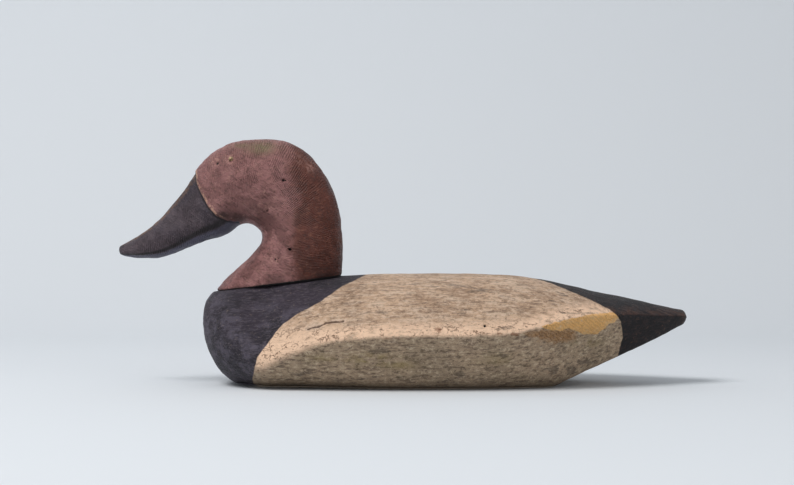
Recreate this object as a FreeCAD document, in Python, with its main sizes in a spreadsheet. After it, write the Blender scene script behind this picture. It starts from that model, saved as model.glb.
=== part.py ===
import FreeCAD, Part
import math
import os
import Sketcher

# A hollow two-piece wooden drake decoy.
# Frame: +Z up, the bill points to -X and the tail to +X, and Y = 0 is the midplane.
# The origin is under the middle of the overall length, on the flat bottom.

V = FreeCAD.Vector
UP = V(0, 0, 1)

doc = FreeCAD.newDocument("duck_decoy")
sheet = doc.addObject("Spreadsheet::Sheet", "Sizes")

# ---------------------------------------------------------------- driving sizes, in mm and degrees

SIZES = {
    # body
    "body_length": 328.8,
    "body_width": 168.0,
    "body_height": 74.7,
    "planing": 2.0,            # how far the carved blank stands below the planed bottom
    "seam_height": 34.0,       # the flat joint between the two halves
    "side_wall": 20.0,
    "floor_wall": 20.0,
    "roof_wall": 20.0,
    # head, neck and bill, carved in one
    "bill_overhang": 57.2,     # bill tip ahead of the breast
    "head_length": 152.6,      # bill tip to the back of the neck
    "head_height": 103.9,      # crown above the front of the seat
    "neck_width": 58.0,
    # the planed shelf that the neck stands on
    "seat_drop": 12.7,         # its front edge below the highest line of the back
    "seat_setback": 9.0,       # its front edge behind the breast
    "seat_margin": 0.6,        # how far the shelf runs on behind the neck
    "seat_rise": 7.2,          # degrees, rising towards the tail
    # neck dowel
    "dowel_diameter": 12.7,
    "dowel_up": 34.0,          # into the neck
    "dowel_down": 12.0,        # into the body
    "dowel_from_breast": 57.0,
    # wire nails
    "nail_diameter": 2.6,
    "nail_head_diameter": 5.2,
    "nail_head_thickness": 1.1,
    "nail_point": 4.0,
    "nail_set": 3.0,           # how far each head is punched below the wood
    "nail_mouth": 6.0,         # the open hole that is cut over each head
    "body_nail_length": 38.0,
    "body_nail_rise": 8.0,     # above the seam
    "body_nail_fore": 67.7,    # behind the breast
    "body_nail_aft": 186.7,
    "stern_nail_fore": 64.0,   # ahead of the tail tip
    "neck_nail_length": 32.0,
    "neck_nail_low": 22.5,     # above the front of the seat
    "neck_nail_high": 29.0,
    "neck_nail_fore": 51.5,    # behind the breast
    "neck_nail_aft": 59.5,
    "neck_nail_lean": 0.6,     # inwards, for each 1 down
    # eye tacks
    "tack_head_radius": 1.7,
    "tack_diameter": 1.2,
    "tack_length": 9.0,
    "eye_from_tip": 78.0,
    "eye_height": 89.0,        # above the front of the seat
    # ballast weight, let into the bottom
    "ballast_length": 104.0,
    "ballast_width": 34.0,
    "ballast_thickness": 9.0,
    "ballast_inset": 0.6,      # below flush, so that the wood bears
    "ballast_clearance": 0.25,
    "ballast_from_breast": 160.0,
    "screw_spacing": 64.0,
    "screw_diameter": 4.2,
    "screw_head_diameter": 8.0,
    "screw_head_height": 2.4,
    "screw_length": 19.0,
    "screw_point": 5.0,
    "screw_slot_width": 1.0,
    "screw_slot_depth": 1.1,
    # line tie: a ring that swings in a staple, both in a recess
    "tie_from_breast": 47.7,
    "tie_height": 5.0,         # ring pivot above the bottom
    "ring_radius": 9.5,        # to the middle of the wire
    "ring_wire": 2.6,
    "staple_wire": 1.8,
    "staple_gap": 0.7,         # round the ring's wire, fore and aft
    "staple_grip": 12.0,       # legs into the wood above the recess
    "staple_point": 2.5,
    "recess_depth": 9.6,
    "recess_width": 27.0,
    "recess_fore": 6.5,        # clear of the pivot, towards the breast
    "recess_aft": 4.0,         # clear of the ring, towards the tail
}

# Stations of the body. Places along are shares of body_length from the breast, heights are
# shares of body_height, and half breadths are shares of half of body_width.
#                 along   keel   floor  chine  breadth crown
HULL_STATIONS = ((0.000,  0.522, 0.090, 0.602, 0.180,  0.683),
                 (0.008,  0.367, 0.170, 0.535, 0.330,  0.759),
                 (0.023,  0.209, 0.260, 0.442, 0.460,  0.833),
                 (0.045,  0.075, 0.350, 0.321, 0.580,  0.884),
                 (0.078, -0.012, 0.460, 0.228, 0.700,  0.937),
                 (0.124, -0.020, 0.580, 0.201, 0.805,  0.968),
                 (0.185, -0.020, 0.670, 0.315, 0.895,  0.981),
                 (0.276, -0.020, 0.740, 0.442, 0.975,  0.976),
                 (0.382, -0.020, 0.765, 0.482, 1.000,  0.996),
                 (0.504, -0.020, 0.750, 0.486, 0.990,  1.000),
                 (0.626, -0.020, 0.680, 0.509, 0.920,  0.981),
                 (0.708, -0.004, 0.570, 0.589, 0.815,  0.924),
                 (0.753,  0.070, 0.490, 0.629, 0.735,  0.880),
                 (0.802,  0.161, 0.400, 0.643, 0.635,  0.833),
                 (0.863,  0.273, 0.300, 0.643, 0.480,  0.779),
                 (0.924,  0.392, 0.200, 0.629, 0.320,  0.723),
                 (0.972,  0.495, 0.130, 0.616, 0.215,  0.680),
                 (1.000,  0.569, 0.080, 0.600, 0.140,  0.624))

HOLLOW_STATIONS = (5, 6, 7, 8, 9, 10, 11)

# Stations of the bill and head. Places along are shares of head_length from the bill tip,
# heights are shares of head_height above the front of the seat, and half breadths are
# shares of half of neck_width.
#                 along  low    high   breadth
HEAD_STATIONS = ((0.000, 0.246, 0.293, 0.210),
                 (0.014, 0.234, 0.311, 0.330),
                 (0.048, 0.224, 0.342, 0.425),
                 (0.100, 0.217, 0.388, 0.450),
                 (0.172, 0.222, 0.479, 0.435),
                 (0.244, 0.245, 0.592, 0.430),
                 (0.310, 0.286, 0.722, 0.465),
                 (0.368, 0.317, 0.840, 0.570),
                 (0.434, 0.345, 0.929, 0.705),
                 (0.506, 0.385, 0.975, 0.845),
                 (0.585, 0.405, 0.996, 0.930),
                 (0.676, 0.340, 0.995, 0.950),
                 (0.768, 0.330, 0.955, 0.900),
                 (0.860, 0.330, 0.855, 0.760),
                 (0.938, 0.330, 0.694, 0.520),
                 (0.981, 0.340, 0.511, 0.240))

# Stations of the neck. Heights and half breadths as for the head; front and back are shares
# of head_length from the bill tip.
#                 height  front  back   breadth
NECK_STATIONS = ((-0.030, 0.428, 0.985, 1.000),
                 (0.100, 0.489, 0.991, 0.985),
                 (0.183, 0.550, 0.998, 0.950),
                 (0.256, 0.600, 1.000, 0.915),
                 (0.308, 0.629, 1.000, 0.890),
                 (0.366, 0.637, 0.997, 0.880),
                 (0.443, 0.590, 0.990, 0.870),
                 (0.539, 0.620, 0.977, 0.840),
                 (0.662, 0.650, 0.948, 0.740),
                 (0.767, 0.690, 0.900, 0.520))

# The bilge of a body section. The bottom is flat for the first share of its half breadth.
# Each later point has its share of the way out and its share of the way up to the chine.
FLAT_SHARE = 0.86
BILGE_LOW = (0.97, 0.07)       # out as a share of the bottom's half breadth
BILGE_HIGH = (0.18, 0.22)      # out as a share of the way from the bottom to the full breadth
CHINE_SET = 0.07               # the widest line lies this share below the top of the side

# The crown of a body section: its height over the chine falls off as this power of the
# distance from the midplane, at these shares of the half breadth.
CROWN_POWER = 2.6
CROWN_SHARES = (0.94, 0.82, 0.64, 0.42, 0.20)

# An oval section has this many straight sides on each side of the midplane, and its half
# breadth follows this power of the sine, so that it is a little fuller than an ellipse.
OVAL_SIDES = 8
OVAL_POWER = 0.82


# ---------------------------------------------------------------- sizes that keep their expression

class Size:
    """A number together with the spreadsheet expression that gives it."""

    def __init__(self, value, text=None):
        self.value = float(value)
        self.text = text if text else repr(float(value))

    def __add__(self, other):
        other = as_size(other)
        return Size(self.value + other.value, f"({self.text} + {other.text})")

    def __sub__(self, other):
        other = as_size(other)
        return Size(self.value - other.value, f"({self.text} - {other.text})")

    def __mul__(self, other):
        other = as_size(other)
        return Size(self.value * other.value, f"{self.text} * {other.text}")

    def __truediv__(self, other):
        other = as_size(other)
        return Size(self.value / other.value, f"{self.text} / {other.text}")


def as_size(number):
    return number if isinstance(number, Size) else Size(number)


def fill_sheet():
    """Writes every driving size and station share as a plain number with an alias."""
    rows = dict(SIZES)
    for prefix, columns, table in (
            ("hull", ("along", "keel", "floor", "chine", "breadth", "crown"), HULL_STATIONS),
            ("head", ("along", "low", "high", "breadth"), HEAD_STATIONS),
            ("neck", ("height", "front", "back", "breadth"), NECK_STATIONS)):
        for number, row in enumerate(table):
            for column, share in zip(columns, row):
                rows[f"{prefix}_{column}_{number}"] = share
    for line, (alias, value) in enumerate(rows.items(), start=1):
        sheet.set(f"A{line}", alias)
        sheet.set(f"B{line}", str(value))
        sheet.setAlias(f"B{line}", alias)
    doc.recompute()
    return rows


CELLS = fill_sheet()


def size(alias):
    return Size(CELLS[alias], f"Sizes.{alias}")


def bind(feature, **values):
    """Binds properties to expressions; a double underscore in a name stands for a dot."""
    for name, value in values.items():
        feature.setExpression(name.replace("__", "."), as_size(value).text)


# Places that several pieces share.
BREAST_X = (size("bill_overhang") - size("body_length")) / 2
BILL_TIP_X = BREAST_X - size("bill_overhang")
TAIL_TIP_X = BREAST_X + size("body_length")
SEAT_X = BREAST_X + size("seat_setback")
SEAT_Z = size("body_height") - size("seat_drop")
TIE_X = BREAST_X + size("tie_from_breast")
BALLAST_X = BREAST_X + size("ballast_from_breast")
SEAT_SLOPE = math.tan(math.radians(SIZES["seat_rise"]))
SAW_CUT = 400.0                # a tool that is larger than any piece
PLANE_DEPTH = 60.0             # of the blocks that plane the shelf and saw the neck
POINT_SHARE = 0.1              # the blunt end of a nail's or screw's point, as a share of its shank


def seat_height_at(x):
    """The height of the planed shelf at x."""
    return SEAT_Z.value + (x - SEAT_X.value) * SEAT_SLOPE


# ---------------------------------------------------------------- small helpers

def origin_plane(body, role):
    return next(plane for plane in body.Origin.OriginFeatures if plane.Role == role)


def new_sketch(body, name, role):
    sketch = body.newObject("Sketcher::SketchObject", name)
    sketch.AttachmentSupport = [(origin_plane(body, role), "")]
    sketch.MapMode = "FlatFace"
    return sketch


def draw_mirrored(sketch, outline):
    """Draws a closed outline that is the same on both sides of the sketch's upright axis.

    outline lists (across, up) sizes from the lowest point on the axis to the highest one.
    """
    right = [V(across.value, up.value, 0) for across, up in outline]
    left = [V(-point.x, point.y, 0) for point in reversed(right[1:-1])]
    loop = right + left
    count = len(loop)
    for number, start in enumerate(loop):
        sketch.addGeometry(Part.LineSegment(start, loop[(number + 1) % count]))
    for number in range(count):
        sketch.addConstraint(Sketcher.Constraint("Coincident", number, 2, (number + 1) % count, 1))
    last = len(outline) - 1
    for number, (across, up) in enumerate(outline):
        if number in (0, last):
            sketch.addConstraint(Sketcher.Constraint("PointOnObject", number, 1, -2))
        else:
            tied = sketch.addConstraint(Sketcher.Constraint("DistanceX", number, 1, across.value))
            sketch.setExpression(f"Constraints[{tied}]", across.text)
            sketch.addConstraint(Sketcher.Constraint("Symmetric", number, 1, count - number, 1, -2))
        tied = sketch.addConstraint(Sketcher.Constraint("DistanceY", number, 1, up.value))
        sketch.setExpression(f"Constraints[{tied}]", up.text)


def loft_through(body, name, sketches):
    """Lofts straight from each section to the next, as the carver's knife leaves it."""
    loft = body.newObject("PartDesign::AdditiveLoft", name)
    loft.Ruled = True
    loft.Profile = (sketches[0], [""])
    loft.Sections = [(sketch, [""]) for sketch in sketches[1:]]
    return loft


def oval(low, high, breadth):
    """Half of an oval from (0, low) to (0, high), breadth wide each side of the axis."""
    outline = []
    for number in range(OVAL_SIDES + 1):
        angle = math.pi * number / OVAL_SIDES
        across = max(math.sin(angle), 0.0) ** OVAL_POWER
        outline.append((breadth * round(across, 4), low + (high - low) * round((1 - math.cos(angle)) / 2, 4)))
    return outline


def cylinder(name, diameter, length):
    piece = doc.addObject("Part::Cylinder", name)
    bind(piece, Radius=diameter / 2, Height=length)
    return piece


def cone(name, diameter_low, diameter_high, length):
    piece = doc.addObject("Part::Cone", name)
    bind(piece, Radius1=diameter_low / 2, Radius2=diameter_high / 2, Height=length)
    return piece


def fuse(name, pieces):
    joined = doc.addObject("Part::MultiFuse", name)
    joined.Shapes = pieces
    return joined


def group(label, pieces):
    """Separate solids that share one node."""
    compound = doc.addObject("Part::Compound", label)
    compound.Links = pieces
    compound.Label = label
    return compound


def cut(label, base, *stages):
    """Takes each stage's tools out of base, where no two tools of one stage meet."""
    for number, tools in enumerate(stages):
        together = doc.addObject("Part::Compound", f"{label}_tools_{number}")
        together.Links = tools
        result = doc.addObject("Part::Cut", f"{label}_cut_{number}")
        result.Base = base
        result.Tool = together
        base = result
    base.Label = label
    return base


def skin_point(form, inside, outward):
    """The point where a ray from inside a solid leaves it."""
    ray = Part.makeLine(inside, inside + outward * SAW_CUT)
    inner = ray.common(form.Shape)
    return max((vertex.Point for vertex in inner.Vertexes), key=lambda point: point.distanceToPoint(inside))


def aim(piece, start, direction):
    """Stands a piece that was made along +Z at start, pointing along direction."""
    piece.Placement = FreeCAD.Placement(start, FreeCAD.Rotation(UP, direction))


# ---------------------------------------------------------------- body

def hull_outline(number):
    """Half of a body section: flat bottom, rounded bilge, leaning side, chine and crown."""
    height = size("body_height")
    half = size("body_width") / 2
    keel = size(f"hull_keel_{number}") * height + size("planing")
    chine = size(f"hull_chine_{number}") * height + size("planing")
    crown = size(f"hull_crown_{number}") * height + size("planing")
    floor = half * size(f"hull_floor_{number}")
    breadth = half * size(f"hull_breadth_{number}")
    side, rise = breadth - floor, chine - keel
    outline = [(as_size(0.0), keel),
               (floor * FLAT_SHARE, keel),
               (floor * BILGE_LOW[0], keel + rise * BILGE_LOW[1]),
               (floor + side * BILGE_HIGH[0], keel + rise * BILGE_HIGH[1]),
               (breadth, chine - rise * CHINE_SET)]
    for share in CROWN_SHARES:
        outline.append((breadth * share, chine + (crown - chine) * round(1 - share ** CROWN_POWER, 4)))
    outline.append((as_size(0.0), crown))
    return outline


def make_blank():
    """The whole carved body, before it is planed, split and hollowed."""
    body = doc.addObject("PartDesign::Body", "body_blank")
    sections = []
    for number in range(len(HULL_STATIONS)):
        sketch = new_sketch(body, f"body_section_{number}", "YZ_Plane")
        along = BREAST_X + size("body_length") * size(f"hull_along_{number}")
        bind(sketch, AttachmentOffset__Base__z=along, AttachmentOffset__Base__y=size("planing") * -1.0)
        draw_mirrored(sketch, hull_outline(number))
        sections.append(sketch)
    loft_through(body, "body_loft", sections)
    return body


def make_hollow():
    """The gouged-out space inside the body, across the seam."""
    body = doc.addObject("PartDesign::Body", "body_hollow")
    sections = []
    for number in HOLLOW_STATIONS:
        sketch = new_sketch(body, f"hollow_section_{number}", "YZ_Plane")
        along = BREAST_X + size("body_length") * size(f"hull_along_{number}")
        bind(sketch, AttachmentOffset__Base__z=along)
        roof = size("body_height") * size(f"hull_crown_{number}") - size("roof_wall")
        breadth = size("body_width") / 2 * size(f"hull_breadth_{number}") - size("side_wall")
        draw_mirrored(sketch, oval(size("floor_wall"), roof, breadth))
        sections.append(sketch)
    loft_through(body, "hollow_loft", sections)
    return body


def saw_block(name, low, high):
    """A block over the whole plan between two heights."""
    block = doc.addObject("Part::Box", name)
    bind(block, Length=SAW_CUT * 2, Width=SAW_CUT * 2, Height=as_size(high) - as_size(low),
         Placement__Base__x=-SAW_CUT, Placement__Base__y=-SAW_CUT, Placement__Base__z=low)
    return block


def sawn(name, form, block):
    piece = doc.addObject("Part::Common", name)
    piece.Base = form
    piece.Tool = block
    return piece


def make_seat_plane():
    """A tilted block that planes the shelf for the neck across the body."""
    block = doc.addObject("Part::Box", "seat_plane")
    neck_back = size("head_length") - size("bill_overhang")
    bind(block, Length=neck_back + size("seat_margin"), Width=size("body_width"), Height=PLANE_DEPTH,
         Placement__Base__y=size("body_width") / -2)
    ahead = SIZES["seat_setback"]
    bind(block, Placement__Base__x=SEAT_X - ahead, Placement__Base__z=SEAT_Z - ahead * SEAT_SLOPE)
    block.Placement.Rotation = FreeCAD.Rotation(V(0, 1, 0), -SIZES["seat_rise"])
    return block


# ---------------------------------------------------------------- head

def make_head_form():
    """Bill and head lofted fore and aft, and the neck lofted upwards, in one carving."""
    body = doc.addObject("PartDesign::Body", "head_form")
    half = size("neck_width") / 2
    sections = []
    for number in range(len(HEAD_STATIONS)):
        sketch = new_sketch(body, f"head_section_{number}", "YZ_Plane")
        along = BILL_TIP_X + size("head_length") * size(f"head_along_{number}")
        bind(sketch, AttachmentOffset__Base__z=along, AttachmentOffset__Base__y=SEAT_Z)
        low = size("head_height") * size(f"head_low_{number}")
        high = size("head_height") * size(f"head_high_{number}")
        draw_mirrored(sketch, oval(low, high, half * size(f"head_breadth_{number}")))
        sections.append(sketch)
    loft_through(body, "head_loft", sections)
    sections = []
    for number in range(len(NECK_STATIONS)):
        sketch = new_sketch(body, f"neck_section_{number}", "XY_Plane")
        # Turned so that the sketch's upright axis runs from the bill to the tail.
        sketch.AttachmentOffset = FreeCAD.Placement(V(0, 0, 0), FreeCAD.Rotation(UP, -90))
        bind(sketch, AttachmentOffset__Base__x=BILL_TIP_X,
             AttachmentOffset__Base__z=SEAT_Z + size("head_height") * size(f"neck_height_{number}"))
        front = size("head_length") * size(f"neck_front_{number}")
        back = size("head_length") * size(f"neck_back_{number}")
        draw_mirrored(sketch, oval(front, back, half * size(f"neck_breadth_{number}")))
        sections.append(sketch)
    loft_through(body, "neck_loft", sections)
    return body


def make_neck_saw():
    """A tilted block that saws the bottom of the neck to the same plane as the shelf."""
    block = doc.addObject("Part::Box", "neck_saw")
    bind(block, Length=SAW_CUT, Width=SAW_CUT, Height=PLANE_DEPTH)
    turn = FreeCAD.Rotation(V(0, 1, 0), -SIZES["seat_rise"])
    corner = V(SEAT_X.value, 0, SEAT_Z.value) + turn.multVec(V(-SAW_CUT / 2, -SAW_CUT / 2, -PLANE_DEPTH))
    block.Placement = FreeCAD.Placement(corner, turn)
    return block


def make_dowel():
    """A wooden peg, half in the neck and half in the body."""
    dowel = cylinder("head_dowel", size("dowel_diameter"), size("dowel_up") + size("dowel_down"))
    dowel.Label = "head_dowel"
    x = BREAST_X + size("dowel_from_breast")
    bind(dowel, Placement__Base__x=x)
    dowel.Placement.Base = V(x.value, 0, seat_height_at(x.value) - SIZES["dowel_down"])
    return dowel


# ---------------------------------------------------------------- nails and tacks

def make_pin(name, length, head_length):
    """A nail's shape along +Z: its shank and point, and a head that ends at head_length."""
    head = cylinder(f"{name}_head", size("nail_head_diameter"), head_length)
    bind(head, Placement__Base__z=size("nail_head_thickness") - head_length)
    shank = cylinder(f"{name}_shank", size("nail_diameter"), length - size("nail_point"))
    point = cone(f"{name}_point", size("nail_diameter"), size("nail_diameter") * POINT_SHARE, size("nail_point"))
    bind(point, Placement__Base__z=length - size("nail_point"))
    return fuse(name, [head, shank, point])


def drive(name, length, skin, direction):
    """A nail driven into the skin, its head punched below the wood, and the hole it makes."""
    direction = direction.normalize()
    nail = make_pin(name, length, size("nail_head_thickness"))
    hole = make_pin(f"{name}_hole", length, size("nail_head_thickness") + size("nail_mouth"))
    for piece in (nail, hole):
        aim(piece, skin + direction * SIZES["nail_set"], direction)
    return nail, hole


def make_body_nails(blank):
    """Nails that hold the two halves: two on each side, one in the breast, one in the stern."""
    height = (size("seam_height") + size("body_nail_rise")).value
    length = size("body_nail_length")
    driven = []
    for side in (-1, 1):
        for along in ("body_nail_fore", "body_nail_aft"):
            inside = V((BREAST_X + size(along)).value, 0, height)
            skin = skin_point(blank, inside, V(0, side, 0))
            driven.append(drive(f"side_nail_{len(driven)}", length, skin, V(0, -side, -1)))
    inside = V(BREAST_X.value + length.value, 0, height)
    driven.append(drive("breast_nail", length, skin_point(blank, inside, V(-1, 0, 0)), V(1, 0, -1)))
    inside = V((TAIL_TIP_X - size("stern_nail_fore")).value, 0, height)
    driven.append(drive("stern_nail", length, skin_point(blank, inside, V(0, 0, -1)), V(0, 0, 1)))
    return group("body_nails", [nail for nail, hole in driven]), [hole for nail, hole in driven]


def make_neck_nails(form):
    """Two nails on each side, driven down and inwards through the neck into the body."""
    driven = []
    for side in (-1, 1):
        for along, height in (("neck_nail_fore", "neck_nail_low"), ("neck_nail_aft", "neck_nail_high")):
            inside = V((BREAST_X + size(along)).value, 0, (SEAT_Z + size(height)).value)
            skin = skin_point(form, inside, V(0, side, 0))
            lean = V(0, -side * size("neck_nail_lean").value, -1)
            driven.append(drive(f"neck_nail_{len(driven)}", size("neck_nail_length"), skin, lean))
    return group("neck_nails", [nail for nail, hole in driven]), [hole for nail, hole in driven]


def make_eye_tack(label, form, side):
    """A round-headed tack set in the side of the head."""
    shank = cylinder(f"{label}_shank", size("tack_diameter"), size("tack_length"))
    dome = doc.addObject("Part::Sphere", f"{label}_dome")
    bind(dome, Radius=size("tack_head_radius"))
    dome.Angle1 = -90
    dome.Angle2 = 0
    tack = fuse(label, [shank, dome])
    tack.Label = label
    inside = V((BILL_TIP_X + size("eye_from_tip")).value, 0, (SEAT_Z + size("eye_height")).value)
    skin = skin_point(form, inside, V(0, side, 0))
    aim(tack, skin, V(0, -side, 0))
    return tack


# ---------------------------------------------------------------- ballast

def make_slot(name, length, width, low, high):
    """A bar with round ends, lying fore and aft about X = 0, between two heights."""
    body = doc.addObject("PartDesign::Body", name)
    sketch = new_sketch(body, f"{name}_outline", "XY_Plane")
    bind(sketch, AttachmentOffset__Base__z=low)
    reach = ((length - width) / 2).value
    radius = (width / 2).value
    for sign in (1, -1):
        centre = V(sign * reach, 0, 0)
        start = -math.pi / 2 if sign == 1 else math.pi / 2
        sketch.addGeometry(Part.ArcOfCircle(Part.Circle(centre, UP, radius), start, start + math.pi))
    sketch.addGeometry(Part.LineSegment(V(reach, radius, 0), V(-reach, radius, 0)))
    sketch.addGeometry(Part.LineSegment(V(-reach, -radius, 0), V(reach, -radius, 0)))
    for arc, arc_end, line, line_end in ((0, 2, 2, 1), (1, 1, 2, 2), (1, 2, 3, 1), (0, 1, 3, 2)):
        sketch.addConstraint(Sketcher.Constraint("Tangent", arc, arc_end, line, line_end))
    sketch.addConstraint(Sketcher.Constraint("Equal", 0, 1))
    sketch.addConstraint(Sketcher.Constraint("Symmetric", 0, 3, 1, 3, -1, 1))
    sketch.addConstraint(Sketcher.Constraint("PointOnObject", 0, 3, -1))
    tied = sketch.addConstraint(Sketcher.Constraint("Radius", 0, radius))
    sketch.setExpression(f"Constraints[{tied}]", (width / 2).text)
    tied = sketch.addConstraint(Sketcher.Constraint("DistanceX", 1, 3, 0, 3, 2 * reach))
    sketch.setExpression(f"Constraints[{tied}]", (length - width).text)
    pad = body.newObject("PartDesign::Pad", f"{name}_pad")
    pad.Profile = sketch
    bind(pad, Length=high - low)
    return body


def make_ballast():
    """The lead bar, and the recess that takes it."""
    top = size("ballast_inset") + size("ballast_thickness")
    bar = make_slot("ballast_bar", size("ballast_length"), size("ballast_width"), size("ballast_inset"), top)
    gap = size("ballast_clearance") * 2
    recess = make_slot("ballast_recess", size("ballast_length") + gap, size("ballast_width") + gap,
                       as_size(0.0) - size("planing"), top)
    for piece in (bar, recess):
        bind(piece, Placement__Base__x=BALLAST_X)
    return bar, recess


def make_ballast_screws():
    """Two slotted wood screws, heads down, flush with the lead."""
    screws = []
    for number, sign in enumerate((-1, 1)):
        name = f"ballast_screw_{number}"
        head = cone(f"{name}_head", size("screw_head_diameter"), size("screw_diameter"), size("screw_head_height"))
        shank = cylinder(f"{name}_shank", size("screw_diameter"), size("screw_length") - size("screw_point"))
        point = cone(f"{name}_point", size("screw_diameter"), size("screw_diameter") * POINT_SHARE, size("screw_point"))
        bind(point, Placement__Base__z=size("screw_length") - size("screw_point"))
        slot = doc.addObject("Part::Box", f"{name}_slot")
        bind(slot, Length=size("screw_head_diameter"), Width=size("screw_slot_width"),
             Height=size("screw_slot_depth"), Placement__Base__x=size("screw_head_diameter") / -2,
             Placement__Base__y=size("screw_slot_width") / -2)
        screw = doc.addObject("Part::Cut", name)
        screw.Base = fuse(f"{name}_solid", [head, shank, point])
        screw.Tool = slot
        bind(screw, Placement__Base__x=BALLAST_X + size("screw_spacing") / 2 * sign,
             Placement__Base__z=size("ballast_inset"))
        screws.append(screw)
    return group("ballast_screws", screws)


# ---------------------------------------------------------------- line tie

def make_ring():
    """The wire ring that the anchor line is tied to, folded back in its recess."""
    ring = doc.addObject("Part::Torus", "line_tie_ring")
    ring.Label = "line_tie_ring"
    bind(ring, Radius1=size("ring_radius"), Radius2=size("ring_wire") / 2,
         Placement__Base__x=TIE_X + size("ring_radius"), Placement__Base__z=size("tie_height"))
    return ring


def make_staple():
    """A wire staple that straddles the ring, with its two legs driven up into the wood."""
    bend = size("ring_wire") / 2 + size("staple_gap") + size("staple_wire") / 2
    leg_length = size("recess_depth") - size("tie_height") + size("staple_grip")
    crown = doc.addObject("Part::Torus", "staple_crown")
    bind(crown, Radius1=bend, Radius2=size("staple_wire") / 2,
         Placement__Base__x=TIE_X, Placement__Base__z=size("tie_height"))
    crown.Angle3 = 180
    crown.Placement.Rotation = FreeCAD.Rotation(V(1, 0, 0), -90)
    pieces = [crown]
    for number, sign in enumerate((-1, 1)):
        leg = cylinder(f"staple_leg_{number}", size("staple_wire"), leg_length - size("staple_point"))
        point = cone(f"staple_point_{number}", size("staple_wire"), size("staple_wire") * POINT_SHARE, size("staple_point"))
        bind(leg, Placement__Base__x=TIE_X + bend * sign, Placement__Base__z=size("tie_height"))
        bind(point, Placement__Base__x=TIE_X + bend * sign,
             Placement__Base__z=size("tie_height") + leg_length - size("staple_point"))
        pieces += [leg, point]
    staple = fuse("line_tie_staple", pieces)
    staple.Label = "line_tie_staple"
    return staple


def make_tie_recess():
    """The chiselled recess that holds the staple's crown and the folded ring."""
    ring_reach = size("ring_radius") * 2 + size("ring_wire") / 2
    recess = doc.addObject("Part::Box", "tie_recess")
    bind(recess, Length=size("recess_fore") + ring_reach + size("recess_aft"), Width=size("recess_width"),
         Height=size("recess_depth") + size("planing"), Placement__Base__x=TIE_X - size("recess_fore"),
         Placement__Base__y=size("recess_width") / -2, Placement__Base__z=as_size(0.0) - size("planing"))
    return recess


# ---------------------------------------------------------------- assembly

def make_parts():
    blank = make_blank()
    hollow = make_hollow()
    head_form = make_head_form()
    doc.recompute()

    neck_nails, neck_holes = make_neck_nails(head_form)
    body_nails, body_holes = make_body_nails(blank)
    eyes = [make_eye_tack(f"eye_tack_{name}", head_form, side) for name, side in (("left", -1), ("right", 1))]
    dowel = make_dowel()
    bar, ballast_recess = make_ballast()
    screws = make_ballast_screws()
    ring = make_ring()
    staple = make_staple()

    top_blank = sawn("top_blank", blank, saw_block("top_saw", size("seam_height"), SAW_CUT))
    bottom_blank = sawn("bottom_blank", blank, saw_block("bottom_saw", 0.0, size("seam_height")))
    top = cut("body_top", top_blank, [make_seat_plane()], [hollow, dowel] + neck_holes + body_holes)
    bottom = cut("body_bottom", bottom_blank, [hollow, ballast_recess, make_tie_recess()] + body_holes,
                 [screws, staple])
    head = cut("head", head_form, [make_neck_saw()], [dowel] + neck_holes + eyes)
    ballast = cut("ballast_weight", bar, [screws])
    return [top, bottom, head, dowel, neck_nails, body_nails, *eyes, ballast, screws, staple, ring]


def check(parts):
    """Stops if any feature failed, or if a part is missing its solid."""
    for feature in doc.Objects:
        if "Invalid" in feature.State or "Error" in feature.State:
            raise RuntimeError(f"{feature.Label} failed: {feature.State}")
    for part in parts:
        if part.Shape.isNull() or not part.Shape.isValid() or not part.Shape.Solids:
            raise RuntimeError(f"{part.Label} has no valid solid")


def main():
    parts = make_parts()
    doc.recompute()
    check(parts)
    os.makedirs("parts", exist_ok=True)
    for part in parts:
        part.Shape.exportStep(f"parts/{part.Label}.step")
        box = part.Shape.optimalBoundingBox(False)
        print(f"{part.Label:18s} solids {len(part.Shape.Solids)}  volume {part.Shape.Volume / 1000:9.2f} cm3  "
              f"x {box.XMin:.1f}..{box.XMax:.1f}  y {box.YMin:.1f}..{box.YMax:.1f}  z {box.ZMin:.1f}..{box.ZMax:.1f}")


main()
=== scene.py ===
"""A carved wooden drake decoy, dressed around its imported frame.

The body halves and the head are worked out as smooth surfaces from a carver's stations, and
every finish is built from nodes. Sizes in the classes are millimetres; meshes are in metres,
in the frame's own axes: +Z up, the bill towards -X, and Y = 0 the midplane.
"""

import logging
import math
from dataclasses import dataclass, field
from enum import Enum
from typing import ClassVar

import bpy
import numpy as np
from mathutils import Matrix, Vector


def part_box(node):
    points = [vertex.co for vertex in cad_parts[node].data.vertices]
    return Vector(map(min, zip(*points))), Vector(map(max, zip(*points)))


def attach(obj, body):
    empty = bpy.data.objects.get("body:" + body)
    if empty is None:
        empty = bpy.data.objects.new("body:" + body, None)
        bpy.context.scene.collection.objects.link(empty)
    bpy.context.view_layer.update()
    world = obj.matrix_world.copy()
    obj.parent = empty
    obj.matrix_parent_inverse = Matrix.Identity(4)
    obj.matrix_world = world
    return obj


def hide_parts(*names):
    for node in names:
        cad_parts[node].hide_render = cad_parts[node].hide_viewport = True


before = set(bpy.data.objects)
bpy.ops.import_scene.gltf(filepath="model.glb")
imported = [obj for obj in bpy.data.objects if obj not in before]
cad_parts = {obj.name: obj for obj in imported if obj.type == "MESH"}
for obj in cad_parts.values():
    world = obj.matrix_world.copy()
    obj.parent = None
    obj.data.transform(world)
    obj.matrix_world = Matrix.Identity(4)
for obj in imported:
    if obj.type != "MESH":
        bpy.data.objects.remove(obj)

MM = 0.001
SHARP_ANGLE = 55.0
SEAT_SLOPE = math.tan(math.radians(7.2))
# The head's seat starts this far behind the breast.
SEAT_SETBACK = 9.0
# Stands for "nowhere near" where a distance is kept on the mesh.
FAR = 99.0
# A hole falls away between these shares of its radius.
HOLE_LIP = (0.45, 1.15)
LOG = logging.getLogger("decoy")
Socket = bpy.types.NodeSocket
Tone = tuple[int, int, int]


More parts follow.
